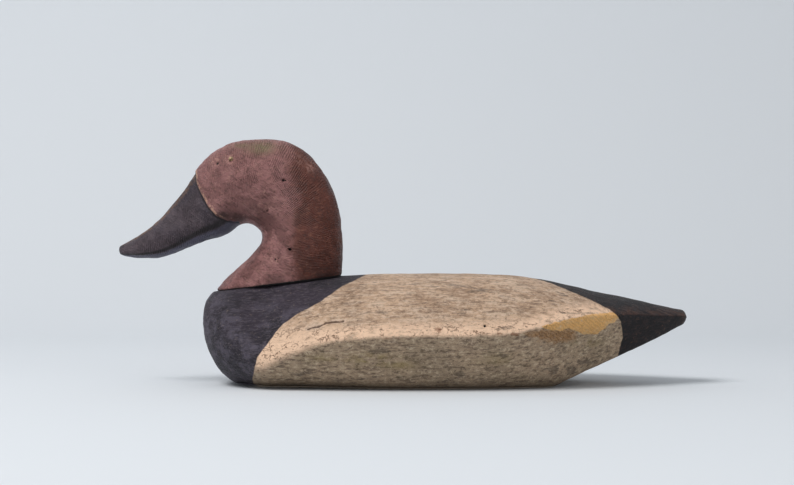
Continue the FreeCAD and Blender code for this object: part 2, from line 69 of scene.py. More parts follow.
# ---------------------------------------------------------------- curves and surfaces

def monotone_curve(knots: np.ndarray, values: np.ndarray, at: np.ndarray) -> np.ndarray:
    """Draws a smooth curve through stations without ever overshooting them.

    Each span is a cubic Hermite curve. The slope at a station is the weighted harmonic mean
    of the slopes on its two sides, and zero where they differ in sign.

    Args:
        knots: rising places of the stations, shape (n,).
        values: one row for each station, shape (n, k).
        at: places to read, shape (m,).

    Returns:
        The values at each place, shape (m, k).
    """
    step = np.diff(knots)[:, None]
    slope = np.diff(values, axis=0) / step
    near, far = 2 * step[1:] + step[:-1], step[1:] + 2 * step[:-1]
    with np.errstate(divide="ignore", invalid="ignore"):
        mean = (near + far) / (near / slope[:-1] + far / slope[1:])
    tangent = np.zeros_like(values)
    tangent[1:-1] = np.where(slope[:-1] * slope[1:] > 0, mean, 0.0)
    tangent[0], tangent[-1] = slope[0], slope[-1]
    span = np.clip(np.searchsorted(knots, at, side="right") - 1, 0, len(knots) - 2)
    length = step[span]
    t = (at - knots[span])[:, None] / length
    return ((1 + 2 * t) * (1 - t) ** 2 * values[span] + t * (1 - t) ** 2 * length * tangent[span]
            + t ** 2 * (3 - 2 * t) * values[span + 1] - t ** 2 * (1 - t) * length * tangent[span + 1])


def spline_rows(corners: np.ndarray, count: int) -> np.ndarray:
    """Rounds rows of corner points into uniform cubic B-splines.

    A point of the curve is the mean of four neighbouring corners, weighted by the cubic
    B-spline basis. The row is reflected at both ends about y = 0, so it meets the midplane
    square.

    Args:
        corners: (rows, corners, 2) points (y, z), first and last on the midplane.
        count: points along each finished row.

    Returns:
        (rows, count, 2) points.
    """
    mirror = np.array([-1.0, 1.0])
    padded = np.concatenate([corners[:, 1:2] * mirror, corners, corners[:, -2:-1] * mirror], axis=1)
    place = np.linspace(0, corners.shape[1] - 1, count)
    span = np.minimum(place.astype(int), corners.shape[1] - 2)
    t = (place - span)[None, :, None]
    weights = ((1 - t) ** 3, 3 * t ** 3 - 6 * t ** 2 + 4, -3 * t ** 3 + 3 * t ** 2 + 3 * t + 1, t ** 3)
    return sum(weight * padded[:, span + number] for number, weight in enumerate(weights)) / 6


def read_rows(rows: np.ndarray, place: np.ndarray) -> np.ndarray:
    """Reads each row of points at fractional places, in straight steps between its points.

    Args:
        rows: (rows, points, values) to read.
        place: (rows, m) places, counted in points.

    Returns:
        The values there, shape (rows, m, values).
    """
    low = np.clip(np.floor(place).astype(int), 0, rows.shape[1] - 2)
    share = (place - low)[..., None]
    number = np.arange(len(rows))[:, None]
    return rows[number, low] * (1 - share) + rows[number, low + 1] * share


def outward(grid: np.ndarray) -> np.ndarray:
    """Unit normals of a grid of points: the cross product of its two directions.

    The rows follow +X and each row starts underneath and climbs the +Y side, so the cross
    product points away from the midplane.

    Args:
        grid: (rows, points, 3) points.

    Returns:
        One normal for each point, in the same shape.
    """
    normal = np.cross(np.gradient(grid, axis=1), np.gradient(grid, axis=0))
    return normal / np.maximum(np.linalg.norm(normal, axis=2, keepdims=True), 1e-9)


def soft_step(value: np.ndarray, low: float, high: float) -> np.ndarray:
    """A soft change from 0 to 1, the smooth cubic 3t^2 - 2t^3.

    Args:
        value: what to judge.
        low: 0 at this value and below.
        high: 1 at this value and above.

    Returns:
        The shares.
    """
    t = np.clip((value - low) / (high - low), 0, 1)
    return t * t * (3 - 2 * t)


def ripple(points: np.ndarray, size: float, seed: int) -> np.ndarray:
    """Smooth unevenness in -1..1: the mean of sine waves in a dozen seeded directions.

    Args:
        points: (..., 3) points.
        size: the mean length of a wave, in the unit of the points.
        seed: picks the directions.

    Returns:
        The level at each point.
    """
    rng = np.random.default_rng(seed)
    waves = rng.normal(size=(12, 3))
    waves *= (rng.uniform(0.6, 1.6, 12) / np.linalg.norm(waves, axis=1) * 2 * math.pi / size)[:, None]
    phase = rng.uniform(0, 2 * math.pi, 12)
    return np.sin(points @ waves.T + phase).mean(axis=-1) * 2


@dataclass(frozen=True)
class Ripple:
    """Unevenness left by the knife: its height, its size, its seed and its stretch."""

    height: float
    size: float
    seed: int
    stretch: tuple[float, float, float] = (1.0, 1.0, 1.0)

    def at(self, points: np.ndarray) -> np.ndarray:
        """The level at each point, in millimetres."""
        return self.height * ripple(points * np.array(self.stretch), self.size, self.seed)


def side_distance(points: np.ndarray, line: np.ndarray) -> np.ndarray:
    """Signed distance in side view from a line of (x, z) points.

    The nearest spot on each straight piece is found by projection. For an open line the sign
    comes from the cross product with the nearest piece: positive ahead of a line that runs
    down, and behind a line that runs up. A closed outline is positive inside, where a ray
    towards +X crosses it an odd number of times.

    Args:
        points: (..., 3) points.
        line: (n, 2) corners; the last one equals the first if the outline is closed.

    Returns:
        The distances.
    """
    start, run = line[:-1], np.diff(line, axis=0)
    flat = points[..., None, (0, 2)] - start
    share = np.clip((flat * run).sum(-1) / (run ** 2).sum(-1), 0, 1)
    distance = np.linalg.norm(flat - share[..., None] * run, axis=-1)
    nearest = distance.argmin(axis=-1)[..., None]
    turn = flat[..., 0] * run[:, 1] - flat[..., 1] * run[:, 0]
    if np.array_equal(line[0], line[-1]):
        level = (flat[..., 1] >= 0) != (flat[..., 1] >= run[:, 1])
        crossed = level & (turn * np.sign(run[:, 1]) < 0)
        sign = np.where(crossed.sum(axis=-1) % 2 == 1, 1.0, -1.0)
    else:
        sign = np.sign(np.take_along_axis(turn, nearest, axis=-1))[..., 0]
    return np.take_along_axis(distance, nearest, axis=-1)[..., 0] * sign


def build_mesh(name: str, rings: np.ndarray, values: dict[str, np.ndarray]) -> bpy.types.Object:
    """Makes a closed mesh from closed rings and keeps a value per point as attributes.

    Args:
        name: the piece's name.
        rings: (rings, points, 3) in millimetres; each end is closed with one face.
        values: attribute name to an array of shape (rings, points).

    Returns:
        The object, smooth shaded, with its normals outwards.
    """
    count, around = rings.shape[:2]
    index = np.arange(count * around).reshape(count, around)
    after = np.roll(index, -1, axis=1)
    faces = np.stack([index[:-1], index[1:], after[1:], after[:-1]], axis=-1).reshape(-1, 4)
    centre = rings.mean(axis=(0, 1))
    corner = rings.reshape(-1, 3)[faces] - centre
    volume = np.einsum("ij,ij->i", corner[:, 0], np.cross(corner[:, 1], corner[:, 2])).sum()
    volume += np.einsum("ij,ij->i", corner[:, 0], np.cross(corner[:, 2], corner[:, 3])).sum()
    ends = [index[0].tolist(), index[-1][::-1].tolist()]
    shell = faces.tolist()
    if volume < 0:
        shell = faces[:, ::-1].tolist()
        ends = [ends[0][::-1], ends[1][::-1]]
    mesh = bpy.data.meshes.new(name)
    mesh.from_pydata((rings.reshape(-1, 3) * MM).tolist(), [], shell + ends)
    for key, value in values.items():
        layer = mesh.attributes.new(key, "FLOAT", "POINT")
        layer.data.foreach_set("value", np.ascontiguousarray(value, np.float32).ravel())
    mesh.shade_smooth()
    mesh.set_sharp_from_angle(angle=math.radians(SHARP_ANGLE))
    mesh.validate()
    piece = bpy.data.objects.new(name, mesh)
    bpy.context.collection.objects.link(piece)
    return piece


# ---------------------------------------------------------------- node graphs

@dataclass(frozen=True)
class Pattern:
    """A smooth noise: its scale, octaves and roughness, and how it is stretched and turned."""

    scale: float
    detail: float
    rough: float = 0.55
    stretch: tuple[float, float, float] = (1, 1, 1)
    turn: tuple[float, float, float] = (0, 0, 0)


@dataclass(frozen=True)
class Coat:
    """A thin coat of colour over what lies below.

    It is absent where its pattern is at start and whole where it is at full; None for both
    takes the pattern's own value as the share. The strength scales that share, a second
    pattern may confine it, and aft is its colour on the back of the head, where painted
    shade darkens the head's paint.
    """

    pattern: str
    start: float | None
    full: float | None
    strength: float
    tone: Tone
    within: str = ""
    aft: Tone | None = None


class Graph:
    """A short way to write a node material: each method adds one node and gives its output."""

    def __init__(self, name: str) -> None:
        """Starts an empty material with a Principled shader."""
        self.material = bpy.data.materials.new(name)
        self.material.use_nodes = True
        self.tree = self.material.node_tree
        self.shader = self.tree.nodes["Principled BSDF"]

    def add(self, kind: str, settings: dict[str, object] | None = None,
            inputs: dict[str | int, object] | None = None) -> bpy.types.Node:
        """Adds a node, sets its properties, and links or sets its inputs.

        Args:
            kind: Blender's name of the node.
            settings: its properties.
            inputs: a socket to link or a value to set, for each input.

        Returns:
            The node.
        """
        node = self.tree.nodes.new(kind)
        for key, value in (settings or {}).items():
            setattr(node, key, value)
        for key, value in (inputs or {}).items():
            if isinstance(value, bpy.types.NodeSocket):
                self.tree.links.new(value, node.inputs[key])
            else:
                node.inputs[key].default_value = value
        return node

    def place(self, stretch: tuple[float, float, float] = (1, 1, 1),
              turn: tuple[float, float, float] = (0, 0, 0)) -> Socket:
        """Object coordinates, turned and then stretched.

        Args:
            stretch: the factor along each axis.
            turn: the angle about each axis, in degrees.

        Returns:
            The coordinates.
        """
        where = self.add("ShaderNodeTexCoord").outputs["Object"]
        angles = tuple(math.radians(angle) for angle in turn)
        if any(angles):
            where = self.add("ShaderNodeMapping", inputs={"Vector": where, "Rotation": angles}).outputs[0]
        return self.add("ShaderNodeMapping", inputs={"Vector": where, "Scale": stretch}).outputs[0]

    def noise(self, where: Socket, scale: float, detail: float = 4.0, rough: float = 0.55) -> Socket:
        """Smooth noise around 0.5."""
        inputs = {"Vector": where, "Scale": scale, "Detail": detail, "Roughness": rough}
        return self.add("ShaderNodeTexNoise", inputs=inputs).outputs[0]

    def pattern(self, pattern: Pattern) -> Socket:
        """The noise that a Pattern describes."""
        where = self.place(pattern.stretch, pattern.turn)
        return self.noise(where, pattern.scale, pattern.detail, pattern.rough)

    def where(self) -> bpy.types.bpy_prop_collection:
        """The X, Y and Z of the Object coordinates, in metres."""
        point = self.add("ShaderNodeTexCoord").outputs["Object"]
        return self.add("ShaderNodeSeparateXYZ", inputs={0: point}).outputs

    def shaken(self, noise: Socket, amount: float, value: Socket) -> Socket:
        """A value moved up and down by noise: value + amount x (noise - 0.5)."""
        return self.math("MULTIPLY_ADD", self.math("SUBTRACT", noise, 0.5), amount, value)

    def value(self, name: str) -> Socket:
        """A value kept on the mesh."""
        return self.add("ShaderNodeAttribute", {"attribute_name": name}).outputs["Fac"]

    def math(self, how: str, first: object, second: object = 0.0, third: object = 0.0) -> Socket:
        """Plain arithmetic."""
        return self.add("ShaderNodeMath", {"operation": how}, {0: first, 1: second, 2: third}).outputs[0]

    def ramp(self, value: Socket, low: float, high: float) -> Socket:
        """A soft change from 0 to 1.

        Args:
            value: what to judge.
            low: 0 at this value.
            high: 1 at this value; the ramp falls if low is above high.

        Returns:
            The share.
        """
        node = self.add("ShaderNodeMapRange", {"interpolation_type": "SMOOTHSTEP"},
                        {"Value": value, "From Min": min(low, high), "From Max": max(low, high)})
        return self.math("SUBTRACT", 1.0, node.outputs[0]) if low > high else node.outputs[0]

    def both(self, first: object, second: object) -> Socket:
        """The product of two masks."""
        return self.math("MULTIPLY", first, second)

    def mix(self, share: object, first: object, second: object) -> Socket:
        """A blend of two colours.

        Args:
            share: how much of the second colour, a socket or a number.
            first: a socket or a plain colour.
            second: likewise.

        Returns:
            The blend.
        """
        node = self.add("ShaderNodeMix", {"data_type": "RGBA"})
        for socket, value in zip((node.inputs[0], node.inputs[6], node.inputs[7]), (share, first, second)):
            if isinstance(value, bpy.types.NodeSocket):
                self.tree.links.new(value, socket)
            else:
                socket.default_value = value
        return node.outputs[2]

    def coats(self, tone: object, patterns: dict[str, Socket], layers: tuple[Coat, ...]) -> Socket:
        """Lays coats over a colour, one after another.

        Args:
            tone: the colour below, a socket or a plain colour.
            patterns: each pattern by its name.
            layers: the coats, the lowest first.

        Returns:
            The finished colour.
        """
        for coat in layers:
            share = patterns[coat.pattern]
            if coat.start is not None:
                share = self.ramp(share, coat.start, coat.full)
            share = self.both(share, coat.strength)
            if coat.within:
                share = self.both(share, patterns[coat.within])
            laid: object = colour(*coat.tone)
            if coat.aft:
                laid = self.mix(patterns["back"], laid, colour(*coat.aft))
            tone = self.mix(share, tone, laid)
        return tone

    def total(self, patterns: dict[str, Socket], parts: tuple[tuple[str, float], ...]) -> Socket:
        """The sum of named patterns, each times its weight.

        Args:
            patterns: each pattern by its name.
            parts: the names and weights.

        Returns:
            The sum.
        """
        (first, weight), *rest = parts
        level = self.both(patterns[first], weight)
        for name, weight in rest:
            level = self.math("MULTIPLY_ADD", patterns[name], weight, level)
        return level

    def finish(self, tone: Socket, rough: object, relief: Socket | None = None,
               depth: float = 0.0005) -> bpy.types.Material:
        """Links colour, roughness and relief to the shader.

        Args:
            tone: the base colour.
            rough: a socket or a number.
            relief: the height of the surface, or None if it is smooth.
            depth: metres for a relief of 1.

        Returns:
            The material.
        """
        self.tree.links.new(tone, self.shader.inputs["Base Color"])
        if isinstance(rough, bpy.types.NodeSocket):
            self.tree.links.new(rough, self.shader.inputs["Roughness"])
        else:
            self.shader.inputs["Roughness"].default_value = rough
        if relief is not None:
            bump = self.add("ShaderNodeBump", inputs={"Height": relief, "Distance": depth, "Strength": 1.0})
            self.tree.links.new(bump.outputs[0], self.shader.inputs["Normal"])
        return self.material


def colour(red: float, green: float, blue: float) -> tuple[float, float, float, float]:
    """A screen colour as the linear colour that a shader takes, by the sRGB curve.

    Args:
        red: from 0 to 255.
        green: likewise.
        blue: likewise.

    Returns:
        The linear colour, opaque.
    """
    bend = 10.3
    linear = [((c / 255 + 0.055) / 1.055) ** 2.4 if c > bend else c / 255 / 12.92 for c in (red, green, blue)]
    return (*linear, 1.0)


# ---------------------------------------------------------------- the body

@dataclass
class Stations:
    """The carver's stations of the body.

    Each row gives: place along the body, keel height, floor half breadth, chine height, half
    breadth at the chine, and crown height. Places are shares of the length, heights are shares
    of the height, and half breadths are shares of half of the width.
    """

    table: np.ndarray = field(default_factory=lambda: np.array([
        (0.000, 0.605, 0.000, 0.605, 0.000, 0.605),
        (0.008, 0.367, 0.170, 0.535, 0.330, 0.759),
        (0.023, 0.209, 0.260, 0.442, 0.460, 0.833),
        (0.045, 0.075, 0.350, 0.321, 0.580, 0.884),
        (0.078, 0.000, 0.460, 0.228, 0.700, 0.937),
        (0.124, 0.000, 0.580, 0.201, 0.805, 0.968),
        (0.185, 0.000, 0.670, 0.315, 0.895, 0.981),
        (0.276, 0.000, 0.740, 0.442, 0.975, 0.976),
        (0.382, 0.000, 0.765, 0.482, 1.000, 0.996),
        (0.504, 0.000, 0.750, 0.486, 0.990, 1.000),
        (0.626, 0.000, 0.680, 0.509, 0.920, 0.986),
        (0.708, 0.000, 0.570, 0.589, 0.815, 0.939),
        (0.753, 0.070, 0.490, 0.629, 0.735, 0.895),
        (0.802, 0.161, 0.400, 0.643, 0.635, 0.844),
        (0.863, 0.273, 0.300, 0.643, 0.480, 0.788),
        (0.924, 0.392, 0.200, 0.629, 0.320, 0.730),
        (0.972, 0.495, 0.130, 0.618, 0.215, 0.682),
        (0.991, 0.540, 0.090, 0.612, 0.160, 0.660),
        (1.000, 0.597, 0.000, 0.597, 0.000, 0.597)]))

    def read(self, spread: np.ndarray) -> np.ndarray:
        """The stations at evenly spread places.

        A place p in 0..1 stands for the share (1 - cos(pi p)) / 2 of the length, which puts more
        rings at the rounded ends.

        Args:
            spread: the places.

        Returns:
            One row of the table's columns for each place.
        """
        knots = np.arccos(1 - 2 * self.table[:, 0]) / math.pi
        return monotone_curve(knots, self.table, spread)


class Half(Enum):
    """The two halves of the body."""

    TOP = "body_top"
    BOTTOM = "body_bottom"


@dataclass
class Pit:
    """A round hole or dent: where it shows in side view, which side, its radius and depth."""

    x: float
    z: float
    side: int
    radius: float
    depth: float


@dataclass(frozen=True)
class Pocket:
    """A recess in the flat underside: two corners in plan, the roof's height, the corner radius."""

    low: tuple[float, float]
    high: tuple[float, float]
    roof: float
    radius: float = 0.0
    steps: int = 16

    def outline(self) -> np.ndarray:
        """The plan: a rectangle whose corners are quarter circles of steps + 1 points each.

        Returns:
            The (n, 2) corners, counterclockwise.
        """
        if not self.radius:
            (x0, y0), (x1, y1) = self.low, self.high
            return np.array([(x1, y0), (x1, y1), (x0, y1), (x0, y0)])
        turn = np.linspace(0, math.pi / 2, self.steps + 1)
        quarters = []
        for number, (right, back) in enumerate(((1, 0), (1, 1), (0, 1), (0, 0))):
            centre = (self.high[0] - self.radius if right else self.low[0] + self.radius,
                      self.high[1] - self.radius if back else self.low[1] + self.radius)
            angle = turn + (number - 1) * math.pi / 2
            quarters.append(np.stack([np.cos(angle), np.sin(angle)], axis=1) * self.radius + centre)
        outline = np.concatenate(quarters)
        apart = np.linalg.norm(outline - np.roll(outline, 1, axis=0), axis=1) > 1e-4
        return outline[apart]

    def holds(self, points: np.ndarray, slack: float = 0.02) -> np.ndarray:
        """Whether each point lies in the pocket or on its walls.

        Args:
            points: (n, 3) points.
            slack: how far outside still counts.

        Returns:
            True or False for each point.
        """
        low, high = np.array(self.low) + self.radius, np.array(self.high) - self.radius
        past = points[:, :2] - np.clip(points[:, :2], low, np.maximum(low, high))
        return (np.linalg.norm(past, axis=1) <= self.radius + slack) & (points[:, 2] <= self.roof + slack)


def pocket_blocks(pockets: tuple[Pocket, ...], below: float) -> tuple[list[list[float]], list[list[int]]]:
    """The blocks of wood that the pockets take out: each plan carried from below up to its roof.

    Args:
        pockets: the recesses, in millimetres.
        below: how far each block reaches under the piece.

    Returns:
        The blocks' points in metres, and their faces.
    """
    points: list[list[float]] = []
    faces: list[list[int]] = []
    for pocket in pockets:
        plan = pocket.outline() * MM
        count, first = len(plan), len(points)
        for height in (-below, pocket.roof):
            points += np.column_stack([plan, np.full(count, height * MM)]).tolist()
        foot = list(range(first, first + count))
        faces += [foot[::-1], [k + count for k in foot]]
        faces += [[k, n, n + count, k + count] for k, n in zip(foot, foot[1:] + foot[:1])]
    return points, faces


def cut_pockets(piece: bpy.types.Object, pockets: tuple[Pocket, ...], below: float = 5.0) -> None:
    """Takes pockets out of a piece and marks their walls with the value "pocket".

    Args:
        piece: the closed piece to cut, which ends with plain mesh data and no modifier.
        pockets: the recesses, in millimetres.
        below: how far each block reaches under the piece.
    """
    points, faces = pocket_blocks(pockets, below)
    blocks = bpy.data.meshes.new("blocks")
    blocks.from_pydata(points, [], faces)
    cutter = bpy.data.objects.new("blocks", blocks)
    bpy.context.collection.objects.link(cutter)
    change = piece.modifiers.new("pockets", "BOOLEAN")
    change.operation = "DIFFERENCE"
    change.solver = "MANIFOLD"
    change.object = cutter
    graph = bpy.context.evaluated_depsgraph_get()
    cut = piece.evaluated_get(graph)
    mesh = bpy.data.meshes.new_from_object(cut, preserve_all_data_layers=True, depsgraph=graph)
    piece.modifiers.clear()
    whole, piece.data = piece.data, mesh
    mesh.name = whole.name
    bpy.data.objects.remove(cutter)
    bpy.data.meshes.remove(blocks)
    bpy.data.meshes.remove(whole)
    place = np.empty(len(mesh.vertices) * 3, np.float32)
    mesh.vertices.foreach_get("co", place)
    marked = np.any([pocket.holds(place.reshape(-1, 3) / MM) for pocket in pockets], axis=0)
    mesh.attributes.new("pocket", "FLOAT", "POINT").data.foreach_set("value", marked.astype(np.float32))
    mesh.shade_smooth()
    mesh.set_sharp_from_angle(angle=math.radians(SHARP_ANGLE))


@dataclass(frozen=True)
class Blot:
    """A soft oval mark on the near side: its middle and its half axes in side view."""

    x: float
    z: float
    wide: float
    high: float
    strength: float = 1.0


def blots(points: np.ndarray, marks: tuple[Blot, ...]) -> np.ndarray:
    """The strongest of several soft ovals at each point, on the near side only.

    Args:
        points: (..., 3) points.
        marks: the ovals.

    Returns:
        The level at each point.
    """
    level = np.zeros(points.shape[:-1])
    for mark in marks:
        far = ((points[..., 0] - mark.x) / mark.wide) ** 2 + ((points[..., 2] - mark.z) / mark.high) ** 2
        level = np.maximum(level, mark.strength * np.exp(-far))
    return level * (points[..., 1] < 0)


@dataclass
class Body:
    """The hollow body: two carved halves that meet on a flat seam."""

    VALUES: ClassVar[tuple[str, ...]] = (
        "breast", "rump", "chine", "sunk", "crack", "bare", "stain", "olive", "rust", "rasped")
    breast_x: float
    length: float
    width: float
    height: float
    seam: float
    seat_x: float
    seat_z: float
    pockets: tuple[Pocket, ...]
    rings: int = 430
    round_points: int = 104
    flat_points: int = 6
    fine_points: int = 320
    crown_power: float = 2.6
    bow_fullness: float = 0.95
    bow_end: tuple[float, float] = (0.02, 0.15)
    chine_start: tuple[float, float] = (0.12, 0.44)
    chine_ease: float = 0.16
    chine_passes: int = 5
    swell: float = 1.006
    floor_shares: tuple[float, ...] = (0, 0.3, 0.6, 0.82, 0.95)
    side_shares: tuple[float, ...] = (0.10, 0.32, 0.62, 0.85, 0.965)
    rise_shares: tuple[float, ...] = (0.03, 0.13, 0.33, 0.62, 0.85, 0.955)
    crown_shares: tuple[float, ...] = (0.965, 0.91, 0.82, 0.70, 0.56, 0.42, 0.28, 0.14, 0.0)
    inner_share: float = 2.5 / 19
    ripples: tuple[Ripple, ...] = (
        Ripple(0.28, 34.0, 3), Ripple(0.14, 12.0, 4), Ripple(0.09, 4.5, 5, (0.35, 1.0, 1.0)))
    inset: float = 0.38
    chine_ripple: Ripple = Ripple(0.30, 10.0, 6)
    chine_reach: float = 3.5
    clear_of_seat: tuple[float, float] = (0.5, 4.0)
    clear_of_floor: tuple[float, float] = (0.0, 5.0)
    crack_depth: float = 0.9
    crack_edge: tuple[float, float] = (0.3, 1.2)
    ends: tuple[float, float] = (0.0004, 0.9996)
    stations: Stations = field(default_factory=Stations)
    breast_line: tuple[tuple[float, float], ...] = (
        (-20.0, 90.0), (-22.5, 74.8), (-40.5, 66.9), (-53.0, 57.6), (-66.5, 50.5), (-77.5, 43.2),
        (-80.5, 40.2), (-87.5, 30.2), (-94.0, 21.5), (-95.5, 15.8), (-98.5, 6.0), (-98.0, -5.0))
    rump_line: tuple[tuple[float, float], ...] = (
        (141.0, -5.0), (142.5, 16.0), (144.0, 25.0), (145.5, 32.0), (144.5, 38.0), (143.0, 43.0),
        (139.5, 48.3), (134.0, 52.4), (124.5, 57.2), (112.0, 62.8), (100.5, 67.9), (88.5, 71.6),
        (76.0, 74.2), (68.0, 76.0), (50.0, 90.0))
    bare_line: tuple[tuple[float, float], ...] = (
        (147.0, 49.3), (136.0, 49.9), (120.0, 48.6), (108.0, 46.6), (97.0, 44.0), (89.0, 41.8),
        (92.0, 39.3), (100.0, 38.4), (107.0, 39.4), (113.0, 37.4), (118.0, 35.6), (127.0, 35.3),
        (129.0, 37.5), (132.0, 38.6), (134.0, 41.5), (138.0, 42.5), (141.0, 45.3), (147.0, 46.5),
        (147.0, 49.3))
    crack_line: tuple[tuple[float, float], ...] = (
        (-61.5, 40.2), (-58.0, 41.6), (-54.5, 42.0), (-50.0, 44.4), (-45.0, 45.0), (-38.5, 45.6))
    pits: tuple[Pit, ...] = (
        Pit(-68.1, 39.5, -1, 0.9, 0.7), Pit(-68.1, 41.5, 1, 1.2, 1.2), Pit(51.4, 42.6, -1, 1.3, 1.8),
        Pit(50.9, 41.5, 1, 1.5, 1.8), Pit(-94.0, 12.5, -1, 0.9, 0.9), Pit(-30.0, 22.0, 1, 1.2, 1.2),
        Pit(-134.6, 42.0, 0, 1.7, 1.6), Pit(20.0, 66.0, 1, 1.4, 0.8), Pit(96.0, 52.0, -1, 0.8, 0.6))
    stains: tuple[Blot, ...] = (
        Blot(66.0, 41.0, 9.0, 1.8, 1.0), Blot(98.0, 12.3, 4.0, 4.0, 1.2),
        Blot(109.3, 12.4, 4.5, 4.0, 1.3), Blot(120.6, 16.4, 5.5, 1.5, 1.4),
        Blot(78.0, 4.0, 8.0, 2.5, 1.0), Blot(36.0, 11.0, 4.0, 2.5, 1.0),
        Blot(48.0, 64.5, 15.0, 2.2, 0.95), Blot(34.0, 67.0, 12.0, 1.6, 0.8),
        Blot(-12.0, 50.0, 12.0, 2.5, 0.5), Blot(36.0, 50.5, 7.0, 3.5, 0.75),
        Blot(-66.0, 11.0, 9.0, 4.0, 0.8), Blot(-40.0, 6.0, 12.0, 2.5, 0.7),
        Blot(20.0, 5.0, 26.0, 2.0, 0.6), Blot(110.0, 49.8, 16.0, 0.9, 1.0),
        Blot(93.0, 57.0, 9.0, 3.0, 0.7), Blot(104.0, 61.0, 8.0, 2.2, 0.7),
        Blot(-78.0, 14.0, 4.0, 7.0, 0.6), Blot(-14.0, 26.0, 9.0, 2.5, 0.6),
        Blot(84.0, 22.0, 6.0, 4.0, 0.6), Blot(62.0, 24.0, 5.0, 4.0, 0.6),
        Blot(-28.0, 69.0, 8.0, 2.0, 0.6))
    rusts: tuple[Blot, ...] = (
        Blot(71.0, 36.8, 5.0, 1.4, 1.2), Blot(62.0, 37.6, 3.0, 1.0, 0.8),
        Blot(-8.0, 34.5, 10.0, 0.8, 0.7), Blot(22.0, 40.0, 3.0, 2.5, 0.9),
        Blot(-34.0, 41.0, 4.0, 2.0, 0.6))
    rasped: tuple[Blot, ...] = (Blot(98.0, 35.5, 15.0, 6.5, 1.0), Blot(84.0, 36.5, 10.0, 4.0, 0.7))
    olives: tuple[Blot, ...] = (
        Blot(-20.0, 20.0, 16.0, 4.0, 0.9), Blot(-2.0, 17.0, 9.0, 3.0, 0.6),
        Blot(-52.0, 22.0, 10.0, 3.5, 0.5), Blot(60.0, 20.0, 14.0, 4.0, 0.35),
        Blot(120.0, 30.0, 10.0, 4.0, 0.4))

    def outline(self, spread: np.ndarray) -> tuple[np.ndarray, np.ndarray]:
        """Half sections of the whole body, from the middle of the bottom to the crown.

        The bottom is flat out to the bilge, the side leans out in a straight line to the chine,
        and above it the height falls off from the crown as the 2.6th power of the distance from
        the midplane. A cubic B-spline rounds every corner. Towards the bow the corners are
        averaged with their neighbours, so that the chine fades, and the section turns into an
        oval.

        Args:
            spread: places along the body, each in 0..1.

        Returns:
            The (x, y, z) rows, and the chine's height for each row.
        """
        row = self.stations.read(spread)
        keel, chine, crown = (row[:, k, None] * self.height for k in (1, 3, 5))
        floor, breadth = (row[:, k, None] * self.width / 2 * self.swell for k in (2, 4))
        side, rise = breadth - floor, chine - keel
        across = [floor * share for share in self.floor_shares]
        across += [floor + side * share for share in self.side_shares] + [breadth]
        up = [keel] * 4 + [keel + rise * share for share in self.rise_shares] + [chine]
        for share in self.crown_shares:
            across.append(breadth * share)
            up.append(chine + (crown - chine) * (1 - share ** self.crown_power))
        corners = np.stack([np.concatenate(across, axis=1), np.concatenate(up, axis=1)], axis=-1)
        eased = corners
        for _ in range(self.chine_passes):
            eased = np.concatenate([eased[:, :1], (eased[:, :-2] + 2 * eased[:, 1:-1] + eased[:, 2:]) / 4,
                                    eased[:, -1:]], axis=1)
        ease = (1 - (1 - self.chine_ease) * soft_step(row[:, 0], *self.chine_start))[:, None, None]
        corners = corners * (1 - ease) + eased * ease
        turn = np.linspace(0, math.pi, corners.shape[1])
        oval = np.stack([breadth * np.abs(np.sin(turn)) ** self.bow_fullness,
                         keel + (crown - keel) * (1 - np.cos(turn)) / 2], axis=-1)
        rounding = (1 - soft_step(row[:, 0], *self.bow_end))[:, None, None]
        section = spline_rows(corners * (1 - rounding) + oval * rounding, self.fine_points)
        x = np.broadcast_to(self.breast_x + self.length * row[:, :1], section.shape[:2])
        return np.concatenate([x[..., None], section], axis=2), chine

    def carved_side(self, spread: np.ndarray, sign: int) -> np.ndarray:
        """One side of the body with its seat planed, its knife marks and its nail holes.

        Args:
            spread: places along the body, each in 0..1.
            sign: 1 for the +Y side and -1 for the other.

        Returns:
            (rows, points, 13): x, y, z, then the values named in VALUES.
        """
        rows, chine = self.outline(spread)
        normal = outward(rows)
        flip = np.array([1.0, sign, 1.0])
        seat = self.seat_z + (rows[..., 0] - self.seat_x) * SEAT_SLOPE
        rows, normal = rows * flip, normal * flip
        planed = np.minimum(rows[..., 2], seat)
        free = soft_step(seat - planed, *self.clear_of_seat) * soft_step(planed, *self.clear_of_floor)
        uneven = sum(wave.at(rows) for wave in self.ripples) - self.inset
        by_chine = np.exp(-((rows[..., 2] - chine) / self.chine_reach) ** 2)
        uneven += by_chine * self.chine_ripple.at(rows)
        rows[..., 2] = planed
        sunk = hole_depths(rows, self.pits)
        near = rows[..., 1] < 0
        crack = np.where(near, np.abs(side_distance(rows, np.array(self.crack_line))), FAR)
        crack = np.minimum(crack, FAR)
        bare = np.where(near, side_distance(rows, np.array(self.bare_line)), -FAR)
        breast, rump = (side_distance(rows, np.array(line)) for line in (self.breast_line, self.rump_line))
        spots = [blots(rows, marks) for marks in (self.stains, self.olives, self.rusts, self.rasped)]
        values = [breast, rump, rows[..., 2] - chine, sunk, crack, bare, *spots]
        groove = self.crack_depth * (1 - soft_step(crack, *self.crack_edge))
        carved = rows + normal * (uneven * free - sunk - groove)[..., None]
        carved[:, (0, -1), 1] = 0.0
        return np.concatenate([carved, np.stack(values, axis=-1)], axis=2)

